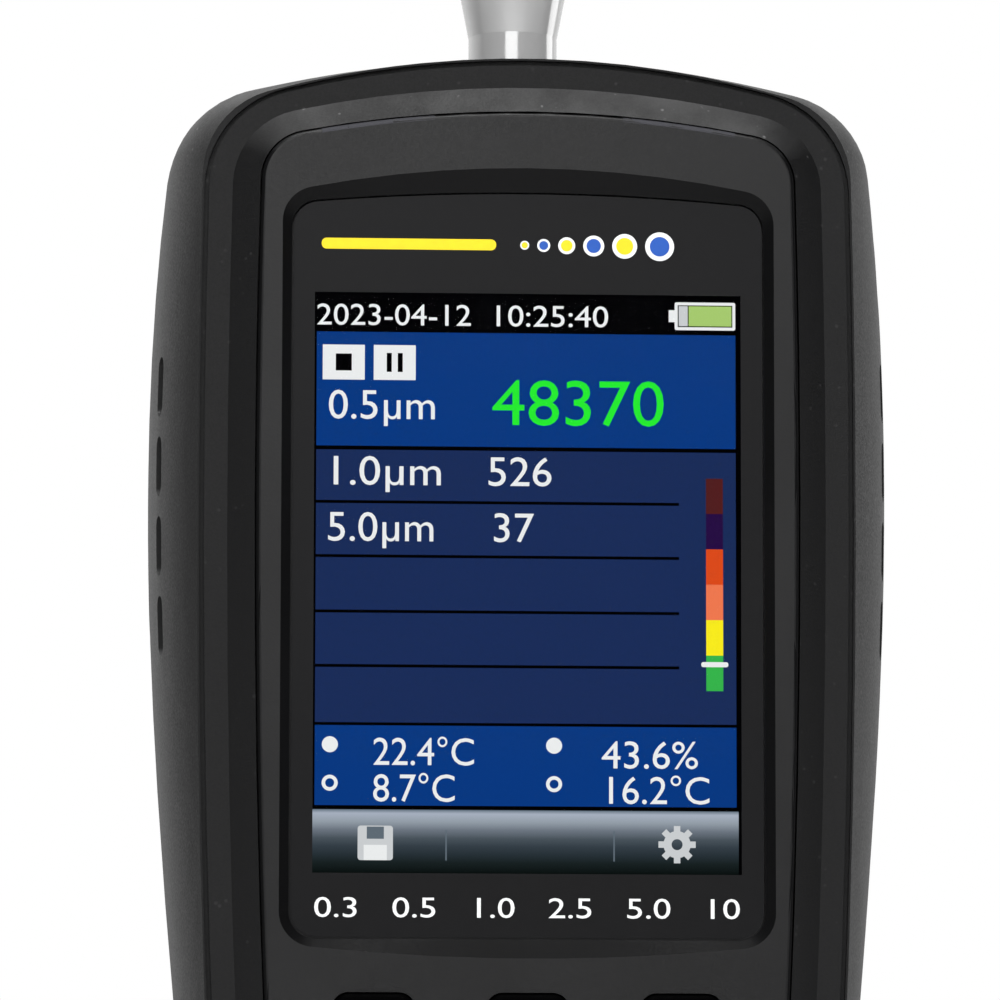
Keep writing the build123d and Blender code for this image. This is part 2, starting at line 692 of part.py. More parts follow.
def tab_spans(gap=0.0):
    """Left and right edge of each tab under the battery cover, grown by gap."""
    reach = COVER_TAB_WIDTH / 2 + gap
    return [(side * COVER_TAB_X - reach, side * COVER_TAB_X + reach) for side in (-1, 1)]


def sensor_posts():
    """Places of the four posts that carry the optical block."""
    reach = SENSOR_HALF_X + SENSOR_FOOT / 2
    inset = SENSOR_FOOT / 2
    return [(side * reach, z) for side in (-1, 1) for z in (SENSOR_BASE + inset, SENSOR_TOP - inset)]


def socket_bar(z, width, height, grow, start, end):
    """A socket's section against the port board, swept along X."""
    depth = (PORT_BOARD_Y - height - grow, PORT_BOARD_Y + grow)
    return block((start, end), depth, (z - width / 2 - grow, z + width / 2 + grow))


def make_key(name):
    """One rubber key: cap through the island, flange behind the wall, stem towards its dome."""
    x, z = key_centre(name)
    cap = rounded_bar(x, z, KEY_SIZE, KEY_SIZE, KEY_CORNER, ISLAND_Y - KEY_PROUD, KEY_WALL_Y + KEY_SEAT)
    cap = fillet(cap.faces().sort_by(Axis.Y)[0].edges(), KEY_EDGE)
    flange_size = KEY_SIZE + 2 * KEY_FLANGE
    flange_front = KEY_WALL_Y + KEY_SEAT
    flange_back = flange_front + KEY_FLANGE_THICKNESS
    flange = rounded_bar(x, z, flange_size, flange_size, KEY_CORNER, flange_front, flange_back)
    dome_front = MAT_FRONT_Y - MAT_DOME
    stem = rod_y(KEY_STEM_RADIUS, x, z, flange_back, dome_front - KEY_TRAVEL - MAT_GAP)
    return cap + flange + stem


def make_keypad_mat():
    """Silicone mat with a dome behind every key."""
    low = key_centre("key_down")[1] - KEY_PITCH / 2
    half = KEY_POCKET_HALF - MAT_MARGIN
    shape = block((-half, half), (MAT_FRONT_Y, BOARD_FRONT_Y), (low, KEY_POCKET_TOP - MAT_MARGIN))
    for name in KEYS:
        x, z = key_centre(name)
        shape += rod_y(MAT_DOME_RADIUS, x, z, MAT_FRONT_Y - MAT_DOME, MAT_FRONT_Y)
    return shape


def make_main_board():
    """Main circuit board, stepped to follow head and grip."""
    depth = (BOARD_FRONT_Y, BOARD_BACK_Y)
    shape = block((-BOARD_HEAD_HALF, BOARD_HEAD_HALF), depth, (BOARD_STEP_Z, BOARD_HEAD_TOP))
    shape += block((-BOARD_TAB_HALF, BOARD_TAB_HALF), depth, (BOARD_STEP_Z, BOARD_TAB_TOP))
    shape += block((-BOARD_GRIP_HALF, BOARD_GRIP_HALF), depth, (BOARD_BASE, BOARD_STEP_Z))
    for x, z in BOARD_POSTS:
        shape -= rod_y(SMALL_SHANK + HOLE_GAP, x, z, BOARD_FRONT_Y, BOARD_BACK_Y)
    return shape


def make_board_screws():
    """Pan-head screws through the board into the front posts."""
    return [small_screw(x, z, BOARD_BACK_Y, -1) for x, z in BOARD_POSTS]


def small_screw(x, z, seat, direction):
    """One small pan-head screw along Y: the head lies on the seat, the shank points along direction."""
    shank = rod_y(SMALL_SHANK, x, z, seat, seat + direction * SMALL_LENGTH)
    head = rod_y(SMALL_HEAD, x, z, seat, seat - direction * SMALL_HEAD_HEIGHT)
    crown = head.faces().sort_by(Axis.Y)[-1 if direction < 0 else 0]
    return fillet(crown.edges(), SMALL_HEAD_EDGE) + shank


def make_board_chips():
    """Components on the back of the main board."""
    depth = (BOARD_BACK_Y, BOARD_BACK_Y + CHIP_HEIGHT)
    chips = []
    for x, z, width, height in CHIPS:
        chips.append(block((x - width / 2, x + width / 2), depth, (z - height / 2, z + height / 2)))
    return chips


def make_board_sockets():
    """Plug sockets on the back of the main board for the battery, pump, optics and ports."""
    back = BOARD_BACK_Y + SOCKET_DEPTH
    sockets = []
    for x, z, width in SOCKETS:
        reach = (width / 2, SOCKET_HALF_HEIGHT)
        well = (width / 2 - SOCKET_SHELL, SOCKET_HALF_HEIGHT - SOCKET_SHELL)
        body = block((x - reach[0], x + reach[0]), (BOARD_BACK_Y, back), (z - reach[1], z + reach[1]))
        floor = BOARD_BACK_Y + SOCKET_SHELL
        sockets.append(body - block((x - well[0], x + well[0]), (floor, back), (z - well[1], z + well[1])))
    return sockets


def make_air_sensor():
    """Temperature and humidity sensor on the board, beside the left vents."""
    half = AIR_SENSOR_SIZE / 2
    x = (AIR_SENSOR_X - half, AIR_SENSOR_X + half)
    z = (AIR_SENSOR_Z - half, AIR_SENSOR_Z + half)
    return block(x, (BOARD_BACK_Y, BOARD_BACK_Y + half), z)


def make_buzzer():
    """Round buzzer on the board with its sound hole."""
    back = BOARD_BACK_Y + BUZZER_HEIGHT
    shape = rod_y(BUZZER_RADIUS, BUZZER_X, BUZZER_Z, BOARD_BACK_Y, back)
    return shape - rod_y(BUZZER_HOLE, BUZZER_X, BUZZER_Z, BOARD_BACK_Y + BUZZER_HEIGHT / 2, back)


def make_display_panel():
    """Display panel in its metal frame, one closed solid."""
    return rounded_bar(0, PANEL_Z, PANEL_WIDTH, PANEL_HEIGHT, PANEL_CORNER, PANEL_FRONT_Y, PANEL_BACK_Y)


def make_display_cushion():
    """Foam pad that presses the display panel against its ledge."""
    half = PANEL_WIDTH / 2 - CUSHION_MARGIN
    height = (PANEL_Z - CUSHION_HALF_HEIGHT, PANEL_Z + CUSHION_HALF_HEIGHT)
    return block((-half, half), (PANEL_BACK_Y, BOARD_FRONT_Y), height)


def make_display_ribbon():
    """Flat ribbon from the lower edge of the display to its socket on the board."""
    start_y = PANEL_BACK_Y - RIBBON_SETBACK
    start_z = PANEL_Z - PANEL_HEIGHT / 2
    turn_z = start_z - RIBBON_DROP
    with BuildLine(Plane.YZ) as path:
        Line((start_y, start_z), (start_y, turn_z))
        JernArc((start_y, turn_z), (0, -1), RIBBON_BEND, 90)
        Line((start_y + RIBBON_BEND, turn_z - RIBBON_BEND), (MAT_FRONT_Y, turn_z - RIBBON_BEND))
    with BuildSketch(Plane((0, start_y, start_z), x_dir=(1, 0, 0), z_dir=(0, 0, -1))) as section:
        Rectangle(RIBBON_WIDTH, RIBBON_THICKNESS)
    return sweep(section.sketch, path.line)


def make_ribbon_socket():
    """Ribbon socket on the front of the board."""
    top = PANEL_Z - PANEL_HEIGHT / 2 - RIBBON_SOCKET_DROP
    x = (-RIBBON_SOCKET_HALF, RIBBON_SOCKET_HALF)
    return block(x, (MAT_FRONT_Y, BOARD_FRONT_Y), (top - RIBBON_SOCKET_HEIGHT, top))


def make_probe():
    """Push-on isokinetic inlet: neck over the spigot, narrow throat and a funnel that opens upwards."""
    with BuildSketch(Plane.XZ) as sketch:
        with BuildLine():
            Polyline(
                (SPIGOT_RADIUS + SPIGOT_FIT, PROBE_BASE),
                (NECK_RADIUS, PROBE_BASE),
                (NECK_RADIUS, FLARE_BASE_Z),
                (PROBE_RADIUS, PROBE_TOP),
                (PROBE_RADIUS - PROBE_LIP, PROBE_TOP),
                (PROBE_THROAT_RADIUS, PROBE_THROAT_TOP),
                (PROBE_THROAT_RADIUS, PROBE_THROAT_BASE),
                (SPIGOT_RADIUS + SPIGOT_FIT, PROBE_THROAT_BASE),
                (SPIGOT_RADIUS + SPIGOT_FIT, PROBE_BASE),
            )
        make_face()
    return revolve(sketch.sketch, Axis.Z)


def make_washer():
    """Rubber washer that seals the probe against the collar."""
    low = COLLAR_TOP + WASHER_GAP
    ring = rod_z(WASHER_RADIUS, 0, 0, low, low + WASHER_THICKNESS)
    return ring - rod_z(SPIGOT_RADIUS + SPIGOT_FIT, 0, 0, low, low + WASHER_THICKNESS)


def make_fitting():
    """Steel inlet fitting: spigot above, collar in the top wall, clamped stem and hose barb below."""
    shape = rod_z(SPIGOT_RADIUS, 0, 0, COLLAR_TOP, SPIGOT_TOP)
    shape += rod_z(COLLAR_RADIUS, 0, 0, COLLAR_BASE, COLLAR_TOP)
    shape += rod_z(STEM_RADIUS, 0, 0, FITTING_BASE, COLLAR_BASE)
    shape += rod_z(BARB_RADIUS, 0, 0, FITTING_BASE - BARB_LENGTH, FITTING_BASE)
    return shape - rod_z(BORE_RADIUS, 0, 0, FITTING_BASE - BARB_LENGTH, SPIGOT_TOP)


def make_inlet_nut():
    """Hexagon nut that clamps the fitting from inside."""
    top = BODY_TOP - REAR_WALL - NUT_DROP
    with BuildSketch(Plane.XY.offset(top - NUT_HEIGHT)) as sketch:
        RegularPolygon(NUT_RADIUS, 6)
        Circle(STEM_RADIUS + FIT, mode=Mode.SUBTRACT)
    return extrude(sketch.sketch, amount=NUT_HEIGHT)


def hose(x, y, low, high):
    """Straight silicone hose over the barbs, along Z."""
    return rod_z(BARB_RADIUS + FIT + TUBE_WALL, x, y, low, high) - rod_z(BARB_RADIUS + FIT, x, y, low, high)


def make_sensor_block():
    """Machined optical block: air bore down the middle, laser bore across it, feet at the back."""
    shape = block((-SENSOR_HALF_X, SENSOR_HALF_X), (-SENSOR_HALF_Y, SENSOR_HALF_Y), (SENSOR_BASE, SENSOR_TOP))
    foot_x = SENSOR_HALF_X + SENSOR_FOOT
    shape += block((-foot_x, foot_x), (SENSOR_FOOT_SEAT, SENSOR_HALF_Y), (SENSOR_BASE, SENSOR_TOP))
    shape += rod_z(BARB_RADIUS, 0, 0, SENSOR_BASE - STEM_LENGTH, SENSOR_BASE)
    shape -= rod_z(BORE_RADIUS, 0, 0, SENSOR_BASE - STEM_LENGTH, SENSOR_TOP)
    shape -= rod_x(LASER_RADIUS + FIT, 0, SENSOR_MIDDLE, SENSOR_HALF_X - LASER_SEAT, SENSOR_HALF_X)
    shape -= rod_x(BORE_RADIUS, 0, SENSOR_MIDDLE, -SENSOR_HALF_X + LIGHT_TRAP_WALL, SENSOR_HALF_X)
    shape -= rod_y(LASER_RADIUS, 0, SENSOR_MIDDLE, 0, SENSOR_HALF_Y)
    for x, z in sensor_posts():
        shape -= rod_y(SMALL_SHANK + HOLE_GAP, x, z, SENSOR_FOOT_SEAT, SENSOR_HALF_Y)
    return shape


def make_sensor_lid():
    """Lid of the optical block with the upper hose barb."""
    lid_top = SENSOR_TOP + SENSOR_LID
    shape = block((-SENSOR_HALF_X, SENSOR_HALF_X), (-SENSOR_HALF_Y, SENSOR_HALF_Y), (SENSOR_TOP, lid_top))
    shape += rod_z(BARB_RADIUS, 0, 0, lid_top, lid_top + BARB_LENGTH)
    return shape - rod_z(BORE_RADIUS, 0, 0, SENSOR_TOP, lid_top + BARB_LENGTH)


def make_laser():
    """Laser module in its brass barrel."""
    start = SENSOR_HALF_X - LASER_SEAT
    flange_end = SENSOR_HALF_X + LASER_FLANGE_THICKNESS
    shape = rod_x(LASER_RADIUS, 0, SENSOR_MIDDLE, start, start + LASER_LENGTH)
    shape += rod_x(LASER_RADIUS + LASER_FLANGE, 0, SENSOR_MIDDLE, SENSOR_HALF_X, flange_end)
    return shape - rod_x(BORE_RADIUS, 0, SENSOR_MIDDLE, start, SENSOR_HALF_X)


def make_detector():
    """Photodetector board on the back of the optical block, with its screening can."""
    back = SENSOR_HALF_Y + DETECTOR_THICKNESS
    board_z = (SENSOR_MIDDLE - DETECTOR_HALF_HEIGHT, SENSOR_MIDDLE + DETECTOR_HALF_HEIGHT)
    board = block((-DETECTOR_HALF, DETECTOR_HALF), (SENSOR_HALF_Y, back), board_z)
    size = 2 * CAN_HALF
    return board + rounded_bar(0, SENSOR_MIDDLE, size, size, CAN_CORNER, back, back + CAN_HEIGHT)


def make_pump():
    """Air pump: motor can with end boss, and the diaphragm head above it with its two nipples."""
    motor = rod_z(PUMP_RADIUS, 0, PUMP_Y, PUMP_BASE, PUMP_HEAD_BASE)
    motor = fillet(motor.faces().sort_by(Axis.Z)[0].edges(), PUMP_EDGE)
    head_y = (PUMP_Y - PUMP_RADIUS, PUMP_Y + PUMP_RADIUS)
    head = block((-PUMP_RADIUS, PUMP_RADIUS), head_y, (PUMP_HEAD_BASE, PUMP_HEAD_TOP))
    head = fillet(head.edges().filter_by(Axis.Z), PUMP_HEAD_CORNER)
    bore_base = PUMP_HEAD_TOP - PORT_DEPTH
    head += rod_z(BARB_RADIUS, 0, 0, PUMP_HEAD_TOP, BARB_TOP)
    head -= rod_z(BORE_RADIUS, 0, 0, bore_base, BARB_TOP)
    head += rod_z(EXHAUST_RADIUS, EXHAUST_X, PUMP_Y, PUMP_HEAD_TOP, BARB_TOP)
    head -= rod_z(EXHAUST_RADIUS - NIPPLE_WALL, EXHAUST_X, PUMP_Y, bore_base, BARB_TOP)
    return motor, head


def make_pump_saddle():
    """Rubber saddle that carries the motor against the back wall."""
    half = PUMP_RADIUS - SADDLE_MARGIN
    low = PUMP_BASE + SADDLE_MARGIN
    shape = block((-half, half), (PUMP_Y + PUMP_RADIUS / 2, GRIP_REAR_Y), (low, low + SADDLE_HEIGHT))
    shape -= rod_z(PUMP_RADIUS + SPIGOT_FIT, 0, PUMP_Y, PUMP_BASE, PUMP_HEAD_BASE)
    return shape & rear_form(REAR_WALL + COVER_SEAT)


def make_filter():
    """Exhaust filter capsule with its inlet nipple."""
    shape = rod_z(FILTER_RADIUS, FILTER_X, PUMP_Y, FILTER_BASE, FILTER_TOP)
    shape = fillet(shape.edges().filter_by(GeomType.CIRCLE), PUMP_EDGE)
    shape += rod_z(EXHAUST_RADIUS, FILTER_X, PUMP_Y, FILTER_TOP, BARB_TOP)
    return shape - rod_z(EXHAUST_RADIUS - NIPPLE_WALL, FILTER_X, PUMP_Y, FILTER_TOP - PORT_DEPTH, BARB_TOP)


def make_exhaust_tube():
    """Hose that loops from the pump to the filter."""
    start = PUMP_HEAD_TOP + HOSE_GAP
    turn = BARB_TOP + OVERCUT
    radius = (EXHAUST_X - FILTER_X) / 2
    middle = (EXHAUST_X + FILTER_X) / 2
    with BuildLine(Plane((0, PUMP_Y, 0), x_dir=(1, 0, 0), z_dir=(0, -1, 0))) as path:
        Line((EXHAUST_X, start), (EXHAUST_X, turn))
        ThreePointArc((EXHAUST_X, turn), (middle, turn + radius), (FILTER_X, turn))
        Line((FILTER_X, turn), (FILTER_X, start))
    with BuildSketch(Plane((EXHAUST_X, PUMP_Y, start))) as section:
        Circle(EXHAUST_RADIUS + FIT + EXHAUST_TUBE_WALL)
        Circle(EXHAUST_RADIUS + FIT, mode=Mode.SUBTRACT)
    return sweep(section.sketch, path.line)


def make_battery():
    """Two round cells side by side in one shrink sleeve."""
    offset = BATTERY_HALF - CELL_RADIUS
    with BuildSketch(Plane.XY.offset(BATTERY_BASE)) as sketch:
        with Locations((0, BATTERY_Y)):
            Rectangle(2 * offset, 2 * CELL_RADIUS)
        with Locations((-offset, BATTERY_Y), (offset, BATTERY_Y)):
            Circle(CELL_RADIUS)
    return extrude(sketch.sketch, amount=BATTERY_TOP - BATTERY_BASE)


def make_battery_cover():
    """Curved cover on the back of the grip, with two tabs below and one screw above."""
    height = COVER_TOP - COVER_BASE
    window = rounded_bar(
        0, COVER_BASE + height / 2, 2 * COVER_HALF, height, COVER_CORNER, COVER_SEAT_Y, HEAD_REAR_Y
    )
    shape = (rear_form(0, REAR_ROUND) - rear_form(COVER_THICKNESS)) & window
    depth = (GRIP_REAR_Y - COVER_TAB_DEPTH, GRIP_REAR_Y)
    for x in tab_spans():
        tab = block(x, depth, (COVER_BASE - COVER_TAB_REACH, COVER_BASE))
        root = block(x, depth, (COVER_BASE, COVER_BASE + COVER_TAB_ROOT))
        shape += tab & rear_form(REAR_WALL + COVER_SEAT)
        shape += root & rear_form(SUNK)
    shape -= rod_y(SHANK_RADIUS + HOLE_GAP, 0, COVER_SCREW_Z, SEAM_Y, HEAD_REAR_Y)
    shape -= rod_y(HEAD_RADIUS + HOLE_GAP, 0, COVER_SCREW_Z, GRIP_REAR_Y - COVER_SCREW_SINK, HEAD_REAR_Y)
    return shape


def screw(x, z, seat, length):
    """A pan-head screw along Y with a cross recess; its head lies on the seat, its shank points forwards."""
    top = seat + HEAD_HEIGHT
    head = rod_y(HEAD_RADIUS, x, z, seat, top)
    head = fillet(head.faces().sort_by(Axis.Y)[-1].edges(), HEAD_EDGE)
    for across, up in ((CROSS_REACH, CROSS_HALF), (CROSS_HALF, CROSS_REACH)):
        head -= block((x - across, x + across), (top - CROSS_DEPTH, top), (z - up, z + up))
    return head + rod_y(SHANK_RADIUS, x, z, seat - length, seat)


def make_flap():
    """Rubber flap over the ports, flush in its recess and slightly domed."""
    return port_bar(0, -FAR, PORT_FLOOR_X - PORT_GAP / 2) & rear_form(-FLAP_LIFT)


def make_usb_socket():
    """Data and charging socket with its inner tongue."""
    end = SOCKET_FACE_X + USB_LENGTH
    shell = socket_bar(USB_Z, USB_WIDTH, USB_HEIGHT, 0, SOCKET_FACE_X, end)
    shell -= socket_bar(USB_Z, USB_WIDTH, USB_HEIGHT, -SHELL_WALL, SOCKET_FACE_X, end - OVERCUT)
    middle = PORT_BOARD_Y - USB_HEIGHT / 2
    tongue = block(
        (SOCKET_FACE_X + OVERCUT, end - OVERCUT),
        (middle - TONGUE_HALF_THICKNESS, middle + TONGUE_HALF_THICKNESS),
        (USB_Z - TONGUE_HALF_WIDTH, USB_Z + TONGUE_HALF_WIDTH),
    )
    return shell + tongue


def make_card_socket():
    """Memory card socket."""
    end = SOCKET_FACE_X + CARD_LENGTH
    shell = socket_bar(CARD_Z, CARD_WIDTH, CARD_HEIGHT, 0, SOCKET_FACE_X, end)
    return shell - socket_bar(CARD_Z, CARD_WIDTH, CARD_HEIGHT, -SHELL_WALL, SOCKET_FACE_X, end - OVERCUT)


def make_port_board():
    """Small board behind the port bay that carries the two sockets."""
    low = PORT_POSTS[0][1] - POST_RADIUS
    high = PORT_POSTS[1][1] + POST_RADIUS
    right = PORT_POSTS[0][0] + POST_RADIUS
    depth = (PORT_BOARD_Y, PORT_BOARD_Y + PORT_BOARD_THICKNESS)
    shape = block((PORT_PAD_X + PORT_GAP, right), depth, (low, high))
    for x, z in PORT_POSTS:
        shape -= rod_y(SMALL_SHANK + HOLE_GAP, x, z, PORT_BOARD_Y, PORT_BOARD_Y + PORT_BOARD_THICKNESS)
    return shape


def make_insert():
    """Brass tripod insert."""
    start = HEAD_REAR_Y - INSERT_LENGTH
    shape = rod_y(INSERT_RADIUS, 0, INSERT_Z, start, HEAD_REAR_Y)
    return shape - rod_y(INSERT_BORE, 0, INSERT_Z, start, HEAD_REAR_Y)


# ---------------------------------------------------------------- write the pieces
save("front_housing", make_front_housing())
save("front_overmold", make_front_overmold())
save("rear_housing", make_rear_housing())
save("housing_seal", make_seal())
save("display_window", slab(lens_pane(LENS_Y), LENS_THICKNESS))
save("display_panel", make_display_panel())
save("display_cushion", make_display_cushion())
save("display_ribbon", make_display_ribbon())
save("ribbon_socket", make_ribbon_socket())
for key in KEYS:
    save(key, make_key(key))
save("keypad_mat", make_keypad_mat())
save("main_board", make_main_board())
save("board_screws", Compound(make_board_screws()))
save("board_chips", Compound(make_board_chips()))
save("board_sockets", Compound(make_board_sockets()))
save("air_sensor", make_air_sensor())
save("buzzer", make_buzzer())
save("inlet_probe", make_probe())
save("inlet_washer", make_washer())
save("inlet_fitting", make_fitting())
save("inlet_nut", make_inlet_nut())
save("inlet_hose", hose(0, 0, SENSOR_TOP + SENSOR_LID + HOSE_GAP, FITTING_BASE - HOSE_GAP))
save("sensor_block", make_sensor_block())
save("sensor_lid", make_sensor_lid())
save("laser_module", make_laser())
save("detector_board", make_detector())
save("sensor_screws", Compound([small_screw(x, z, SENSOR_FOOT_SEAT, 1) for x, z in sensor_posts()]))
save("outlet_hose", hose(0, 0, PUMP_HEAD_TOP + HOSE_GAP, SENSOR_BASE - HOSE_GAP))
pump_motor, pump_head = make_pump()
save("pump_motor", pump_motor)
save("pump_head", pump_head)
save("pump_saddle", make_pump_saddle())
save("exhaust_filter", make_filter())
save("exhaust_hose", make_exhaust_tube())
save("battery_pack", make_battery())
save("battery_cover", make_battery_cover())
save("cover_screw", screw(0, COVER_SCREW_Z, GRIP_REAR_Y - COVER_SCREW_SINK, COVER_SCREW_LENGTH))
shank_length = BOSS_FLOOR_Y - SEAM_Y + THREAD_BITE
save("housing_screws", Compound([screw(x, z, BOSS_FLOOR_Y, shank_length) for x, z in HOUSING_SCREWS]))
save("port_flap", make_flap())
save("usb_socket", make_usb_socket())
save("card_socket", make_card_socket())
save("port_board", make_port_board())
save("port_screws", Compound([small_screw(x, z, PORT_BOARD_Y, 1) for x, z in PORT_POSTS]))
save("tripod_insert", make_insert())
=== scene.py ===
"""Dresses the handheld airborne particle counter for its studio picture.

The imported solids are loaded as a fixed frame. Each sub-assembly is a class: it holds its sizes, builds
the thin and fine pieces that the solids leave out, and dresses every solid with its finish.
"""

import json
import logging
import math
from dataclasses import dataclass, field
from enum import Enum
from typing import Callable, Iterable, Protocol

import bmesh
import bpy
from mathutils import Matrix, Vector

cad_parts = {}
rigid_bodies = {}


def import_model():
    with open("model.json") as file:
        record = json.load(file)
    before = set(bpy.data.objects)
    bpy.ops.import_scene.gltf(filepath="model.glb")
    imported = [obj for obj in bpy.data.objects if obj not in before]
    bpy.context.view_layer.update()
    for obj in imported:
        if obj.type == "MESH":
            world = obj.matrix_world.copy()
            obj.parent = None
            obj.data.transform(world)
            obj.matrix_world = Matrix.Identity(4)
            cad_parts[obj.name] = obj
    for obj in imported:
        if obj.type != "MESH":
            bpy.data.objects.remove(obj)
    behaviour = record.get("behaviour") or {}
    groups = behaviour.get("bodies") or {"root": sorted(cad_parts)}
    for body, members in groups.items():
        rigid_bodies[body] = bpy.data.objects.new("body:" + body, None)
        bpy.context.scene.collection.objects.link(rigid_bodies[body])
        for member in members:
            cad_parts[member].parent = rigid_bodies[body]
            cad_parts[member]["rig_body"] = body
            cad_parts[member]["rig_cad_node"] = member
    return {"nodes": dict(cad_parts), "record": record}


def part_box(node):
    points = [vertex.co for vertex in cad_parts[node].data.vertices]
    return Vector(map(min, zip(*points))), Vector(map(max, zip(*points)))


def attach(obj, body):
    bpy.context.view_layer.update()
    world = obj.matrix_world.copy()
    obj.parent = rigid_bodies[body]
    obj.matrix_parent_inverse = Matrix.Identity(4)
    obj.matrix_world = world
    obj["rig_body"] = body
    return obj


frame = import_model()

LOG = logging.getLogger("counter")
MM = 0.001

Colour = tuple[float, float, float]
Triple = tuple[float, float, float]
Window = tuple[float, float, float, float]
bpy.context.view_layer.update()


class Hue(Enum):
    """Plain colours of inks and lit pixels, as red, green and blue from 0 to 255."""

    WHITE = (238, 240, 240)
    BLACK = (2, 2, 3)
    YELLOW = (243, 212, 3)
    PRINT_BLUE = (20, 82, 176)
    FIELD_BLUE = (10, 57, 130)
    FIELD_NAVY = (27, 45, 89)
    GREEN = (40, 235, 50)
    LEAF = (168, 204, 112)
    MAROON = (82, 31, 32)
    VIOLET = (39, 14, 67)
    ORANGE = (220, 75, 28)
    SALMON = (241, 121, 80)
    LEMON = (251, 237, 30)
    MEADOW = (55, 180, 76)
    SILVER = (205, 208, 210)
    STEEL_GREY = (96, 108, 118)

    def linear(self) -> Colour:
        """Returns the colour in linear light."""
        return linear(*self.value)


def linear(red: float, green: float, blue: float) -> Colour:
    """Turns a screen colour into linear light.

    Args:
        red: Red from 0 to 255.
        green: Green from 0 to 255.
        blue: Blue from 0 to 255.

    Returns:
        The three channels in linear light, from 0 to 1.
    """
    channels = []
    for value in (red, green, blue):
        part = value / 255
        channels.append(part / 12.92 if part <= 0.04045 else ((part + 0.055) / 1.055) ** 2.4)
    return channels[0], channels[1], channels[2]


class Graph:
    """A node material in the making."""

    def __init__(self, name: str) -> None:
        """Starts a material that holds one Principled shader.

        Args:
            name: Name of the material.
        """
        self.material = bpy.data.materials.new(name)
        self.material.use_nodes = True
        self.nodes = self.material.node_tree.nodes
        self.links = self.material.node_tree.links
        self.shader = self.nodes["Principled BSDF"]
        self.place = self.nodes.new("ShaderNodeTexCoord").outputs["Object"]

    def set(self, **values: object) -> None:
        """Sets constants on the shader.

        Args:
            values: A value for each socket; an underscore in a name stands for a space.
        """
        for name, value in values.items():
            socket = self.shader.inputs[name.replace("_", " ")]
            socket.default_value = (*value, 1.0) if isinstance(value, tuple) else value

    def feed(self, source: bpy.types.NodeSocket, name: str) -> None:
        """Links a value to the shader's socket of that name."""
        self.links.new(source, self.shader.inputs[name])

    def noise(self, scale: float, detail: float = 2.0, stretch: Triple = (1, 1, 1)) -> bpy.types.NodeSocket:
        """Adds a noise pattern over the object's own coordinates.

        Args:
            scale: Grains per metre.
            detail: Octaves of finer noise.
            stretch: Factors on the three axes; a larger one squeezes the grain along its axis.

        Returns:
            The noise value, from 0 to 1.
        """
        mapping = self.nodes.new("ShaderNodeMapping")
        mapping.inputs["Scale"].default_value = stretch
        texture = self.nodes.new("ShaderNodeTexNoise")
        texture.inputs["Scale"].default_value = scale
        texture.inputs["Detail"].default_value = detail
        self.links.new(self.place, mapping.inputs["Vector"])
        self.links.new(mapping.outputs["Vector"], texture.inputs["Vector"])
        return texture.outputs["Fac"]

    def cells(self, scale: float) -> bpy.types.NodeSocket:
        """Adds small round cells.

        Args:
            scale: Cells per metre.

        Returns:
            The distance to the nearest centre, in cells.
        """
        texture = self.nodes.new("ShaderNodeTexVoronoi")
        texture.inputs["Scale"].default_value = scale
        self.links.new(self.place, texture.inputs["Vector"])
        return texture.outputs["Distance"]

    def spread(self, source: bpy.types.NodeSocket, low: float, high: float, start: float = 0.3,
               end: float = 0.7) -> bpy.types.NodeSocket:
        """Maps a pattern to a range of values.

        Args:
            source: The pattern.
            low: Value where the pattern is at start or less.
            high: Value where the pattern is at end or more.
            start: Pattern value that gives low.
            end: Pattern value that gives high.

        Returns:
            The mapped value.
        """
        node = self.nodes.new("ShaderNodeMapRange")
        for name, value in (("From Min", start), ("From Max", end), ("To Min", low), ("To Max", high)):
            node.inputs[name].default_value = value
        self.links.new(source, node.inputs["Value"])
        return node.outputs["Result"]

    def blend(self, factor: bpy.types.NodeSocket, low: Colour, high: Colour) -> bpy.types.NodeSocket:
        """Mixes two colours by a pattern.

        Args:
            factor: The pattern, from 0 to 1.
            low: Colour where the pattern is 0.
            high: Colour where the pattern is 1.

        Returns:
            The mixed colour.
        """
        node = self.nodes.new("ShaderNodeMix")
        node.data_type = "RGBA"
        node.inputs["A"].default_value = (*low, 1.0)
        node.inputs["B"].default_value = (*high, 1.0)
        self.links.new(factor, node.inputs["Factor"])
        return node.outputs["Result"]

    def times(self, first: bpy.types.NodeSocket, second: bpy.types.NodeSocket) -> bpy.types.NodeSocket:
        """Multiplies two values.

        Args:
            first: One value.
            second: The other value.

        Returns:
            Their product.
        """
        node = self.nodes.new("ShaderNodeMath")
        node.operation = "MULTIPLY"
        self.links.new(first, node.inputs[0])
        self.links.new(second, node.inputs[1])
        return node.outputs["Value"]

    def bump(self, height: bpy.types.NodeSocket, depth: float) -> None:
        """Embosses the surface.

        Args:
            height: The pattern, from 0 to 1.
            depth: Depth of the relief in metres.
        """
        node = self.nodes.new("ShaderNodeBump")
        node.inputs["Distance"].default_value = depth
        self.links.new(height, node.inputs["Height"])
        self.feed(node.outputs["Normal"], "Normal")


class Finish(Protocol):
    """Anything that can make its own material."""

    def build(self, name: str) -> bpy.types.Material:
        """Makes the material."""


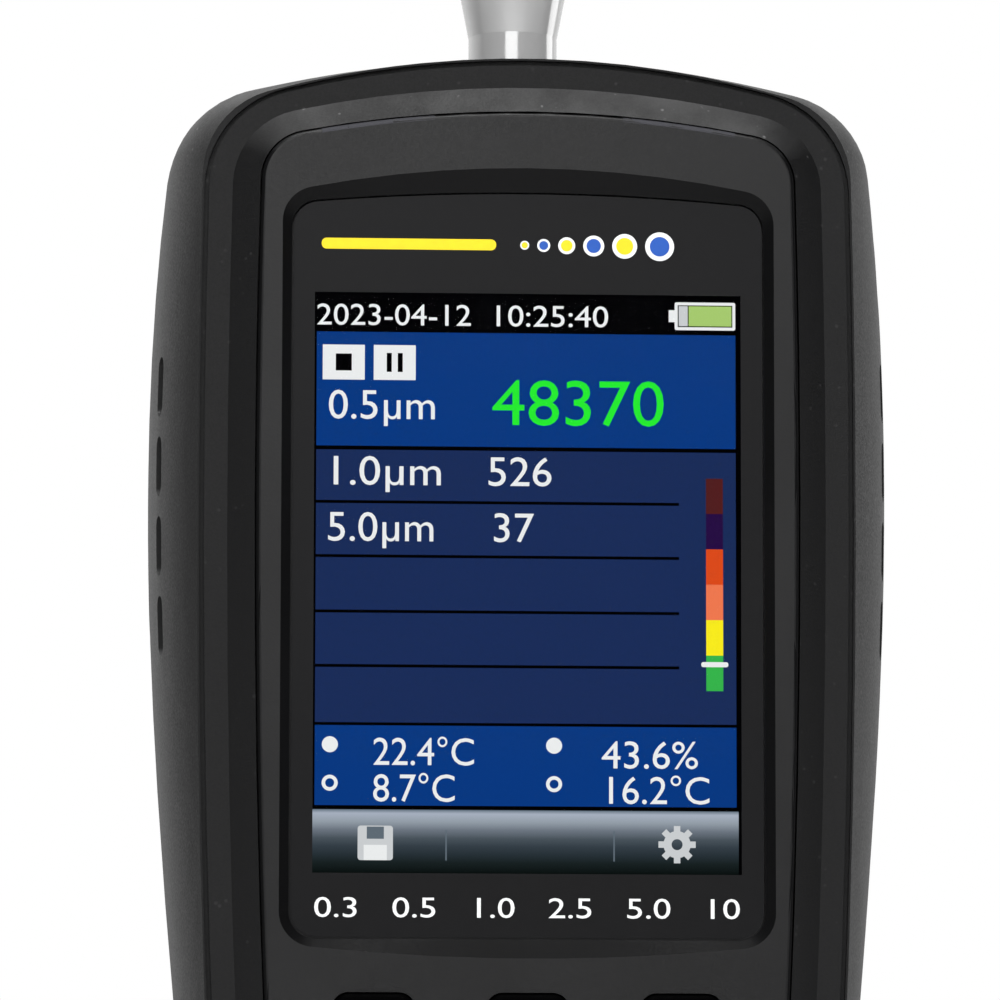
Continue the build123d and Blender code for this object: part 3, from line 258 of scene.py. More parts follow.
@dataclass(frozen=True)
class Moulding:
    """A moulded or cut surface: a colour with slight clouding, a fine grain and uneven gloss."""

    colour: Colour
    roughness: float = 0.5
    metallic: float = 0.0
    grain: float = 3200.0
    depth: float = 0.00002
    clouding: float = 0.12
    specular: float = 0.5
    stretch: Triple = (1, 1, 1)
    clouds: float = 90.0

    def build(self, name: str) -> bpy.types.Material:
        """Makes the material.

        Args:
            name: Name of the material.

        Returns:
            The material.
        """
        graph = Graph(name)
        graph.set(Metallic=self.metallic, Specular_IOR_Level=self.specular)
        dark = tuple(part * (1 - self.clouding) for part in self.colour)
        light = tuple(part * (1 + self.clouding) for part in self.colour)
        cloud = graph.noise(self.clouds, 3.0)
        graph.feed(graph.blend(graph.spread(cloud, 0, 1), dark, light), "Base Color")
        fine = graph.noise(self.grain, 3.0, self.stretch)
        graph.feed(graph.spread(fine, self.roughness - 0.06, self.roughness + 0.08), "Roughness")
        graph.bump(fine, self.depth)
        return graph.material


@dataclass(frozen=True)
class DustAndTopLightSkin:
    """Soft-touch elastomer: a fine satin grain, pale lint specks on upward-facing surfaces, and a painted
    lightening of upward-facing surfaces that stands in for light from above.
    """

    colour: Colour
    dust_and_top_light: Colour
    roughness: float = 0.52
    specular: float = 0.42
    grain: float = 4200.0
    depth: float = 0.000015

    def build(self, name: str) -> bpy.types.Material:
        """Makes the material.

        Args:
            name: Name of the material.

        Returns:
            The material.
        """
        graph = Graph(name)
        graph.set(Specular_IOR_Level=self.specular)
        facing = graph.nodes.new("ShaderNodeSeparateXYZ")
        graph.links.new(graph.nodes.new("ShaderNodeNewGeometry").outputs["Normal"], facing.inputs[0])
        # Painted light: surfaces that face up are blended in patches towards the pale colour, up to about a
        # third, as painted top light.
        upward = graph.spread(facing.outputs["Z"], 0.0, 1.0, 0.25, 0.75)
        film = graph.times(graph.spread(graph.noise(160.0, 6.0), 0.25, 1.0, 0.35, 0.7), upward)
        painted_top_light = graph.blend(graph.spread(film, 0.0, 0.34, 0.0, 1.0), self.colour, self.dust_and_top_light)
        speck = graph.spread(graph.cells(950.0), 1.0, 0.0, 0.10, 0.22)
        sparse = graph.spread(graph.noise(420.0, 2.0), 0.0, 1.0, 0.56, 0.62)
        settled = graph.spread(facing.outputs["Z"], 0.06, 0.75, 0.1, 0.7)
        lint = graph.times(graph.times(speck, sparse), settled)
        mixed = graph.nodes.new("ShaderNodeMix")
        mixed.data_type = "RGBA"
        mixed.inputs["B"].default_value = (*self.dust_and_top_light, 1.0)
        graph.links.new(painted_top_light, mixed.inputs["A"])
        graph.links.new(lint, mixed.inputs["Factor"])
        graph.feed(mixed.outputs["Result"], "Base Color")
        fine = graph.noise(self.grain, 3.0)
        graph.feed(graph.spread(fine, self.roughness - 0.05, self.roughness + 0.1), "Roughness")
        graph.bump(fine, self.depth)
        return graph.material


@dataclass(frozen=True)
class TurnedMetal:
    """Polished or turned metal, with rings of fine tool marks round the vertical axis."""

    colour: Colour
    roughness: float = 0.08
    rings: float = 5200.0
    depth: float = 0.0000006
    metallic: float = 1.0

    def build(self, name: str) -> bpy.types.Material:
        """Makes the material.

        Args:
            name: Name of the material.

        Returns:
            The material.
        """
        graph = Graph(name)
        graph.set(Metallic=self.metallic)
        dark = tuple(part * 0.9 for part in self.colour)
        cloud = graph.spread(graph.noise(120.0, 4.0), 0, 1)
        graph.feed(graph.blend(cloud, dark, self.colour), "Base Color")
        marks = graph.noise(self.rings, 2.0, (0.02, 0.02, 1.0))
        graph.feed(graph.spread(marks, self.roughness * 0.7, self.roughness * 1.5), "Roughness")
        graph.bump(marks, self.depth)
        return graph.material


@dataclass(frozen=True)
class ClearPane:
    """Clear hard-coated window."""

    tint: Colour = (0.96, 0.965, 0.97)
    refraction: float = 1.03

    def build(self, name: str) -> bpy.types.Material:
        """Makes the material.

        Args:
            name: Name of the material.

        Returns:
            The material.
        """
        graph = Graph(name)
        graph.set(Base_Color=self.tint, Transmission_Weight=1.0, IOR=self.refraction)
        graph.feed(graph.spread(graph.noise(700.0, 2.0), 0.0, 0.012), "Roughness")
        return graph.material


@dataclass(frozen=True)
class Ink:
    """Screen-printed ink, a little uneven."""

    colour: Colour
    roughness: float = 0.35
    specular: float = 0.5

    def build(self, name: str) -> bpy.types.Material:
        """Makes the material.

        Args:
            name: Name of the material.

        Returns:
            The material.
        """
        graph = Graph(name)
        graph.set(Specular_IOR_Level=self.specular)
        dark = tuple(part * 0.94 for part in self.colour)
        cloud = graph.spread(graph.noise(900.0, 3.0), 0, 1)
        graph.feed(graph.blend(cloud, dark, self.colour), "Base Color")
        graph.feed(graph.spread(graph.noise(2600.0, 2.0), self.roughness - 0.03, self.roughness + 0.04),
                   "Roughness")
        return graph.material


@dataclass(frozen=True)
class LitPixels:
    """A field of lit display pixels of one colour."""

    colour: Colour

    def build(self, name: str) -> bpy.types.Material:
        """Makes the material.

        Args:
            name: Name of the material.

        Returns:
            The material.
        """
        graph = Graph(name)
        graph.set(Base_Color=(0.0, 0.0, 0.0), Roughness=0.6, Specular_IOR_Level=0.0,
                  Emission_Color=self.colour, Emission_Strength=1.0)
        return graph.material


@dataclass(frozen=True)
class LitRamp:
    """A field of lit pixels whose shade runs from its top to its foot."""

    top: float
    foot: float
    shades: tuple[tuple[float, Colour], ...]

    def build(self, name: str) -> bpy.types.Material:
        """Makes the material.

        Args:
            name: Name of the material.

        Returns:
            The material.
        """
        graph = Graph(name)
        graph.set(Base_Color=(0.0, 0.0, 0.0), Roughness=0.6, Specular_IOR_Level=0.0, Emission_Strength=1.0)
        split = graph.nodes.new("ShaderNodeSeparateXYZ")
        graph.links.new(graph.place, split.inputs[0])
        ramp = graph.nodes.new("ShaderNodeValToRGB")
        steps = ramp.color_ramp.elements
        while len(steps) < len(self.shades):
            steps.new(0.5)
        for step, (position, colour) in zip(steps, self.shades):
            step.position = position
            step.color = (*colour, 1.0)
        fall = graph.spread(split.outputs["Z"], 1.0, 0.0, self.foot, self.top)
        graph.links.new(fall, ramp.inputs["Fac"])
        graph.feed(ramp.outputs["Color"], "Emission Color")
        return graph.material


class Paints:
    """The materials in use, each made once."""

    _made: dict[str, bpy.types.Material] = {}

    @classmethod
    def get(cls, name: str, finish: Finish) -> bpy.types.Material:
        """Finds the named material, which is made from the finish the first time.

        Args:
            name: Name of the material.
            finish: What it is made from.

        Returns:
            The material.
        """
        if name not in cls._made:
            cls._made[name] = finish.build(name)
        return cls._made[name]

    @classmethod
    def lit(cls, hue: Hue) -> bpy.types.Material:
        """Returns lit pixels of a plain colour."""
        return cls.get("lit_" + hue.name.lower(), LitPixels(hue.linear()))

    @classmethod
    def ink(cls, hue: Hue) -> bpy.types.Material:
        """Returns printing ink of a plain colour."""
        return cls.get("ink_" + hue.name.lower(), Ink(hue.linear()))


class Bench:
    """Modelling steps that every sub-assembly uses."""

    FIGURE_SHARE = 0.72  # height of a figure, as a share of the size of the text

    @staticmethod
    def idle() -> None:
        """Deselects everything."""
        for item in bpy.context.selected_objects:
            item.select_set(False)

    @classmethod
    def take(cls, item: bpy.types.Object) -> None:
        """Makes one object the only selected and active one.

        Args:
            item: The object.
        """
        cls.idle()
        item.select_set(True)
        bpy.context.view_layer.objects.active = item

    @classmethod
    def settle(cls, item: bpy.types.Object, name: str) -> bpy.types.Object:
        """Names an object and puts its place into its mesh.

        Args:
            item: The object.
            name: Its new name.

        Returns:
            The same object.
        """
        cls.take(item)
        bpy.ops.object.transform_apply(location=True, rotation=True, scale=True)
        item.name = name
        item.data.name = name
        return item

    @staticmethod
    def select_faces(item: bpy.types.Object, wanted: Callable[[bmesh.types.BMFace], bool]) -> int:
        """Selects the faces of the object in edit mode that pass a test.

        Args:
            item: The object, in edit mode.
            wanted: The test.

        Returns:
            How many faces are selected.
        """
        mesh = bmesh.from_edit_mesh(item.data)
        mesh.select_mode = {"FACE"}
        for part in (*mesh.verts, *mesh.edges, *mesh.faces):
            part.select = False
        count = 0
        for face in mesh.faces:
            if wanted(face):
                face.select_set(True)
                count += 1
        mesh.select_flush_mode()
        bmesh.update_edit_mesh(item.data)
        return count

    @classmethod
    def thicken(cls, item: bpy.types.Object, depth: float) -> None:
        """Extrudes a flat shape that faces the viewer into a thin solid.

        Args:
            item: The flat object, in the plane of x and z.
            depth: Thickness, towards the viewer.
        """
        cls.take(item)
        bpy.ops.object.mode_set(mode="EDIT")
        bpy.ops.mesh.select_all(action="SELECT")
        bpy.ops.mesh.extrude_region_move(TRANSFORM_OT_translate={"value": (0, -depth, 0)})
        bpy.ops.mesh.select_all(action="SELECT")
        bpy.ops.mesh.normals_make_consistent(inside=False)
        bpy.ops.object.mode_set(mode="OBJECT")

    @classmethod
    def turn(cls, item: bpy.types.Object, angle: float, pivot: Triple) -> None:
        """Turns a flat upright piece in its own plane.

        Args:
            item: The piece.
            angle: Angle in radians.
            pivot: The point that it turns round.
        """
        cls.take(item)
        bpy.ops.object.mode_set(mode="EDIT")
        bpy.ops.mesh.select_all(action="SELECT")
        bpy.ops.transform.rotate(value=angle, orient_axis="Y", center_override=pivot)
        bpy.ops.object.mode_set(mode="OBJECT")

    @classmethod
    def plate(cls, box: Window, y: float, depth: float, paint: bpy.types.Material,
              corner: float = 0.0) -> bpy.types.Object:
        """Makes a thin upright plate.

        Args:
            box: Left, right, lowest and highest edge.
            y: Plane of its back.
            depth: Its thickness, towards the viewer.
            paint: Its material.
            corner: Radius of its corners.

        Returns:
            The plate.
        """
        left, right, low, high = box
        cls.idle()
        bpy.ops.mesh.primitive_plane_add(size=1, location=((left + right) / 2, y, (low + high) / 2),
                                         rotation=(math.pi / 2, 0, 0))
        item = bpy.context.object
        item.scale = (right - left, high - low, 1)
        cls.settle(item, "plate")
        if corner > 0:
            bpy.ops.object.mode_set(mode="EDIT")
            bpy.ops.mesh.select_all(action="SELECT")
            bpy.ops.mesh.bevel(offset=corner, segments=6, affect="VERTICES")
            bpy.ops.object.mode_set(mode="OBJECT")
        cls.thicken(item, depth)
        item.data.materials.append(paint)
        return item

    @classmethod
    def disc(cls, x: float, z: float, radius: float, y: float, depth: float, paint: bpy.types.Material,
             hole: float = 0.0, sides: int = 40) -> bpy.types.Object:
        """Makes a thin upright disc or ring.

        Args:
            x: Place of its centre.
            z: Height of its centre.
            radius: Outer radius.
            y: Plane of its back.
            depth: Its thickness, towards the viewer.
            paint: Its material.
            hole: Radius of the hole, or 0.
            sides: Straight sides round it.

        Returns:
            The disc.
        """
        cls.idle()
        bpy.ops.mesh.primitive_circle_add(vertices=sides, radius=radius, fill_type="NGON",
                                          location=(x, y, z), rotation=(math.pi / 2, 0, 0))
        item = bpy.context.object
        cls.settle(item, "disc")
        if hole > 0:
            bpy.ops.object.mode_set(mode="EDIT")
            bpy.ops.mesh.select_all(action="SELECT")
            bpy.ops.mesh.inset(thickness=radius - hole)
            bpy.ops.mesh.delete(type="FACE")
            bpy.ops.object.mode_set(mode="OBJECT")
        cls.thicken(item, depth)
        item.data.materials.append(paint)
        return item

    @classmethod
    def words(cls, text: str, x: float, z: float, height: float, y: float, depth: float,
              paint: bpy.types.Material, align: str = "LEFT", width: float = 0.0) -> bpy.types.Object:
        """Writes figures as a thin solid.

        Args:
            text: The figures.
            x: Left end, middle or right end, as align says.
            z: Height of the line that the figures stand on.
            height: Height of a figure.
            y: Plane of their backs.
            depth: Their thickness, towards the viewer.
            paint: Their material.
            align: LEFT, CENTER or RIGHT.
            width: Width that the line of figures is drawn out to, or 0.

        Returns:
            The figures as one mesh.
        """
        cls.idle()
        bpy.ops.object.text_add(location=(x, y - depth / 2, z), rotation=(math.pi / 2, 0, 0))
        item = bpy.context.object
        item.data.body = text
        item.data.align_x = align
        item.data.size = height / cls.FIGURE_SHARE
        item.data.extrude = depth / 2
        item.data.resolution_u = 4
        bpy.context.view_layer.update()
        if width > 0:
            item.scale = (width / item.dimensions.x, 1, 1)
        cls.take(item)
        bpy.ops.object.convert(target="MESH")
        item = cls.settle(bpy.context.object, "words")
        item.data.materials.clear()
        item.data.materials.append(paint)
        return item

    @classmethod
    def join(cls, items: Iterable[bpy.types.Object], name: str, body: str = "case") -> bpy.types.Object:
        """Joins pieces into one that rides on a body.

        Args:
            items: The pieces; each keeps its own material.
            name: Name of the joined piece.
            body: The body that it rides on.

        Returns:
            The joined piece.
        """
        items = list(items)
        cls.take(items[0])
        for item in items:
            item.select_set(True)
        if len(items) > 1:
            bpy.ops.object.join()
        joined = cls.settle(items[0], name)
        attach(joined, body)
        LOG.info("%s: %d faces", name, len(joined.data.polygons))
        return joined


@dataclass
class FaceEdge:
    """The evenly rounded stretch of the raised face's upper edge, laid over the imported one."""

    arch: float = 117.5 * MM
    centre: float = 82.2 * MM
    depth: float = -28.0 * MM
    radius: float = 0.504 * MM
    span: tuple[float, float] = (9.4 * MM, 20.6 * MM)
    steps: int = 28
    smoothing: float = math.radians(40)

    def build(self) -> None:
        """Sweeps a fine round bar along both halves of the upper edge."""
        paint = bpy.data.materials["hard_case"]
        for side, name in ((1, "face_edge_right"), (-1, "face_edge_left")):
            line = bpy.data.curves.new(name, "CURVE")
            line.dimensions = "3D"
            line.bevel_depth = self.radius
            line.bevel_resolution = 6
            line.use_fill_caps = True
            spline = line.splines.new("POLY")
            spline.points.add(self.steps)
            inner, outer = self.span
            for index, point in enumerate(spline.points):
                x = inner + (outer - inner) * index / self.steps
                point.co = (side * x, self.depth, self.centre + math.sqrt(self.arch**2 - x**2), 1.0)
            item = bpy.data.objects.new(name, line)
            bpy.context.scene.collection.objects.link(item)
            Bench.take(item)
            bpy.ops.object.convert(target="MESH")
            item = Bench.settle(bpy.context.object, name)
            bpy.ops.object.shade_smooth_by_angle(angle=self.smoothing)
            item.data.materials.append(paint)
            Bench.join([item], name)


@dataclass
class Lens:
    """The window over the display: clear pane, dark mask round the lit area, and its prints."""

    front: float = field(default_factory=lambda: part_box("display_window")[0].y)
    window: Window = (-21.25 * MM, 21.25 * MM, 124.1 * MM, 181.95 * MM)
    film: float = 0.03 * MM
    print_film: float = 0.02 * MM
    seam: float = 0.001 * MM
    reach: float = 0.1 * MM
    facing: float = -0.99
    bar: Window = (-20.6 * MM, -3.2 * MM, 186.3 * MM, 187.4 * MM)
    bar_corner: float = 0.5 * MM
    dots: int = 6
    dots_left: float = -0.8 * MM
    dots_height: float = 186.85 * MM
    dot_gap: float = 0.8 * MM
    dot_core: float = 0.68
    scale_foot: float = 119.75 * MM
    scale_height: float = 2.05 * MM
    scale_width: float = 42.0 * MM

    def build(self) -> None:
        """Makes the mask and what is printed on it."""
        self.mask()
        self.stripe()
        self.size_scale()

    def mask(self) -> None:
        """Takes the pane's front face as a film and cuts the window of the lit area out of it."""
        source = frame["nodes"]["display_window"]
        film = source.copy()
        film.data = source.data.copy()
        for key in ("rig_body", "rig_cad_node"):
            if key in film:
                del film[key]
        film.parent = None
        bpy.context.scene.collection.objects.link(film)
        Bench.take(film)
        bpy.ops.object.mode_set(mode="EDIT")
        bpy.ops.mesh.select_all(action="SELECT")
        bpy.ops.mesh.remove_doubles(threshold=self.seam)
        Bench.select_faces(film, lambda face: not (
            face.normal.y < self.facing and face.calc_center_median().y < self.front + self.reach))
        bpy.ops.mesh.delete(type="FACE")
        bpy.ops.mesh.select_all(action="SELECT")
        bpy.ops.mesh.dissolve_limited(angle_limit=0.001)
        left, right, low, high = self.window
        for point, normal in (((left, 0, 0), (1, 0, 0)), ((right, 0, 0), (1, 0, 0)),
                              ((0, 0, low), (0, 0, 1)), ((0, 0, high), (0, 0, 1))):
            bpy.ops.mesh.select_all(action="SELECT")
            bpy.ops.mesh.bisect(plane_co=point, plane_no=normal)
        Bench.select_faces(film, lambda face: left < face.calc_center_median().x < right
                           and low < face.calc_center_median().z < high)
        bpy.ops.mesh.delete(type="FACE")
        bpy.ops.object.mode_set(mode="OBJECT")
        Bench.thicken(film, self.film)
        film.data.materials.clear()
        film.data.materials.append(Paints.get("mask_gloss", Ink(linear(26, 26, 27), 0.32, 0.13)))
        Bench.join([film], "lens_mask")

    def stripe(self) -> None:
        """Prints a yellow bar and a row of growing dots above the lit area."""
        y = self.front - self.film
        z, depth = self.dots_height, self.print_film
        made = [Bench.plate(self.bar, y, depth, Paints.ink(Hue.YELLOW), self.bar_corner)]
        x = self.dots_left
        for index in range(self.dots):
            radius = (0.45 + 0.2 * index) * MM
            core = Hue.PRINT_BLUE if index % 2 else Hue.YELLOW
            x += radius
            made.append(Bench.disc(x, z, radius, y, depth, Paints.ink(Hue.WHITE)))
            made.append(Bench.disc(x, z, radius * self.dot_core, y - depth, depth, Paints.ink(core)))
            x += radius + self.dot_gap
        Bench.join(made, "lens_stripe")

    def size_scale(self) -> None:
        """Prints the row of channel sizes under the lit area."""
        y = self.front - self.film
        made = Bench.words("0.3   0.5   1.0   2.5   5.0   10", 0.0, self.scale_foot, self.scale_height, y,
                           self.print_film, Paints.ink(Hue.WHITE), "CENTER", self.scale_width)
        Bench.join([made], "lens_numbers")


@dataclass
class Picture:
    """What the display shows, laid out in columns and rows of its lit area."""

    left: float = -21.25 * MM
    top: float = 182.1 * MM
    column: float = 0.0998 * MM
    row: float = 0.1006 * MM
    plane: float = -24.74 * MM
    layer: float = 0.04 * MM
    gear_teeth: int = 8
    gear_tooth: Triple = (0.32 * MM, 1.0 * MM, 1.85 * MM)
    gear_radius: float = 1.35 * MM
    gear_hole: float = 0.55 * MM
    made: list[bpy.types.Object] = field(default_factory=list)

    def x(self, column: float) -> float:
        """Returns the place of a column."""
        return self.left + column * self.column

    def z(self, row: float) -> float:
        """Returns the height of a row."""
        return self.top - row * self.row

    def area(self, left: float, right: float, top: float, foot: float, paint: bpy.types.Material,
             level: int = 0, corner: float = 0.0) -> None:
        """Lights a rectangle.

        Args:
            left: First column.
            right: Last column.
            top: First row.
            foot: Last row.
            paint: Its material.
            level: Layer, counted from the panel.
            corner: Radius of its corners.
        """
        box = (self.x(left), self.x(right), self.z(foot), self.z(top))
        self.made.append(Bench.plate(box, self.plane - level * self.layer, self.layer / 2, paint, corner))

    def figures(self, text: str, left: float, right: float, foot: float, height: float,
                hue: Hue = Hue.WHITE) -> None:
        """Writes figures between two columns.

        Args:
            text: The figures.
            left: First column.
            right: Last column.
            foot: Row that they stand on.
            height: Rows that a figure is high.
            hue: Their colour.
        """
        self.made.append(Bench.words(text, self.x(left), self.z(foot), height * self.row,
                                     self.plane - 2 * self.layer, self.layer / 2, Paints.lit(hue),
                                     "LEFT", (right - left) * self.column))

    def build(self) -> None:
        """Makes the fields, the figures and the signs."""
        self.fields()
        self.status_row()
        self.counts()
        self.level_bar()
        self.climate()
        self.tool_row()
        Bench.join(self.made, "screen_picture")

    def fields(self) -> None:
        """Lights the ground of every part of the picture."""
        self.area(-4, 430, -6, 584, Paints.lit(Hue.BLACK))
        self.area(3, 423, 37, 151, Paints.lit(Hue.FIELD_BLUE), 1)
        self.area(3, 423, 155, 426, Paints.lit(Hue.FIELD_NAVY), 1)
        self.area(3, 423, 429, 508, Paints.lit(Hue.FIELD_BLUE), 1)
        shades = ((0.0, (98, 112, 126)), (0.06, (169, 178, 193)), (0.19, (148, 158, 168)),
                  (0.31, (110, 119, 130)), (0.44, (74, 84, 92)), (0.56, (53, 63, 71)),
                  (0.69, (39, 49, 55)), (0.81, (25, 34, 35)), (1.0, (6, 11, 9)))
        steps = tuple((place, linear(*shade)) for place, shade in shades)
        ramp = LitRamp(self.z(512), self.z(576), steps)
        self.area(0, 425, 512, 576, Paints.get("lit_tool_row", ramp), 1)
        for row in (207, 261, 316, 370):
            self.area(3, 366, row - 1.5, row + 1.5, Paints.lit(Hue.BLACK), 2)

    def status_row(self) -> None:
        """Writes the clock and draws the battery sign."""
        self.figures("2023-04-12", 2, 156, 30, 22)
        self.figures("10:25:40", 176, 288, 30, 22)
        self.area(362, 423, 4, 32, Paints.lit(Hue.WHITE), 1, 0.2 * MM)
        self.area(356, 363, 12, 24, Paints.lit(Hue.WHITE), 1)
        self.area(365, 420, 7, 29, Paints.lit(Hue.BLACK), 2)
        self.area(376, 419, 8, 28, Paints.lit(Hue.LEAF), 3)
        self.area(366, 375, 8, 28, Paints.lit(Hue.SILVER), 3)

    def counts(self) -> None:
        """Writes the channel sizes and their counts."""
        for left in (9, 60):
            self.area(left, left + 42, 50, 85, Paints.lit(Hue.WHITE), 2)
        self.area(22, 38, 59, 76, Paints.lit(Hue.BLACK), 3)
        for left in (73, 84):
            self.area(left, left + 5, 58, 77, Paints.lit(Hue.BLACK), 3)
        self.figures("0.5µm", 14, 120, 124, 30)
        self.figures("48370", 178, 350, 129, 47, Hue.GREEN)
        self.figures("1.0µm", 11, 118, 190, 30)
        self.figures("526", 173, 236, 190, 30)
        self.figures("5.0µm", 13, 118, 246, 30)
        self.figures("37", 178, 218, 246, 30)

    def level_bar(self) -> None:
        """Draws the bar of warning colours with its marker."""
        steps = (Hue.MAROON, Hue.VIOLET, Hue.ORANGE, Hue.SALMON, Hue.LEMON, Hue.MEADOW)
        for index, hue in enumerate(steps):
            top = 181 + 35.3 * index
            self.area(393, 410, top, top + 35.3, Paints.lit(hue), 2)
        self.area(388, 415, 364, 369, Paints.lit(Hue.WHITE), 3, 0.2 * MM)

    def climate(self) -> None:
        """Writes the four climate readings with a small sign before each."""
        self.figures("22.4°C", 60, 160, 468, 28)
        self.figures("43.6%", 288, 384, 470, 28)
        self.figures("8.7°C", 60, 141, 504, 28)
        self.figures("16.2°C", 288, 388, 505, 28)
        y = self.plane - 2 * self.layer
        for row, hole in ((448, 0.0), (486, 0.45 * MM)):
            for column in (18, 241):
                self.made.append(Bench.disc(self.x(column), self.z(row), 0.8 * MM, y, self.layer / 2,
                                            Paints.lit(Hue.WHITE), hole, 24))

    def tool_row(self) -> None:
        """Draws the signs and dividers of the tool row."""
        for column in (133, 300):
            self.area(column, column + 1.5, 532, 562, Paints.lit(Hue.STEEL_GREY), 2)
        self.area(46, 81, 528, 562, Paints.lit(Hue.SILVER), 2, 0.3 * MM)
        self.area(55, 72, 529, 541, Paints.lit(Hue.STEEL_GREY), 3)
        self.area(52, 75, 547, 562, Paints.lit(Hue.WHITE), 3)
        self.gear(self.x(363.5), self.z(545))

    def gear(self, x: float, z: float) -> None:
        """Draws the gear sign, as a ring with teeth round it.

        Args:
            x: Place of its centre.
            z: Height of its centre.
        """
        y = self.plane - 2 * self.layer
        silver = Paints.lit(Hue.SILVER)
        half, foot, tip = self.gear_tooth
        for index in range(self.gear_teeth):
            tooth = Bench.plate((x - half, x + half, z + foot, z + tip), y, self.layer / 2, silver)
            Bench.turn(tooth, index * 2 * math.pi / self.gear_teeth, (x, y, z))
            self.made.append(tooth)
        self.made.append(Bench.disc(x, z, self.gear_radius, y, self.layer / 2, silver, self.gear_hole))


class Sign(Enum):
    """What is printed on a key."""

    ONE = "1"
    TWO = "2"
    THREE = "3"
    CROSS = "cross"
    UP = "up"
    DOWN = "down"
    POWER = "power"
    DOT = "dot"


@dataclass
class Keypad:
    """The rubber keys, each with a small printed sign that travels with it."""

    film: float = 0.02 * MM
    half: float = 1.6 * MM
    stroke: float = 0.25 * MM
    signs: dict[str, Sign] = field(default_factory=lambda: {
        "key_f1": Sign.ONE, "key_f2": Sign.TWO, "key_f3": Sign.THREE, "key_escape": Sign.CROSS,
        "key_up": Sign.UP, "key_power": Sign.POWER, "key_enter": Sign.DOT, "key_down": Sign.DOWN})

    def build(self) -> None:
        """Prints every key."""
        for key, sign in self.signs.items():
            low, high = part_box(key)
            centre = (low + high) / 2
            made = self.draw(sign, centre.x, centre.z, low.y)
            Bench.join(made, key + "_sign", key + "_body")

    def draw(self, sign: Sign, x: float, z: float, y: float) -> list[bpy.types.Object]:
        """Draws one sign.

        Args:
            sign: Which sign.
            x: Middle of the key.
            z: Middle of the key.
            y: Top of the key.

        Returns:
            The flat pieces of the sign.
        """
        white = Paints.ink(Hue.WHITE)
        size = self.half
        if sign in (Sign.ONE, Sign.TWO, Sign.THREE):
            return [Bench.words(sign.value, x, z - size, 2 * size, y, self.film, white, "CENTER")]
        if sign in (Sign.UP, Sign.DOWN):
            item = Bench.disc(x, z, size * 1.25, y, self.film, white, 0.0, 3)
            Bench.turn(item, 0.0 if sign is Sign.UP else math.pi, (x, y, z))
            return [item]
        if sign is Sign.CROSS:
            bars = []
            for quarter in (0.25, 0.75):
                edges = (x - size, x + size, z - self.stroke, z + self.stroke)
                bar = Bench.plate(edges, y, self.film, white)
                Bench.turn(bar, quarter * math.pi, (x, y, z))
                bars.append(bar)
            return bars
        if sign is Sign.POWER:
            yellow = Paints.ink(Hue.YELLOW)
            ring = Bench.disc(x, z - 0.2 * MM, size, y, self.film, yellow, size * 0.72)
            edges = (x - self.stroke, x + self.stroke, z, z + size * 1.1)
            bar = Bench.plate(edges, y, self.film * 1.5, yellow)
            return [ring, bar]
        return [Bench.disc(x, z, size, y, self.film, white, size * 0.62),
                Bench.disc(x, z, size * 0.3, y, self.film, white)]


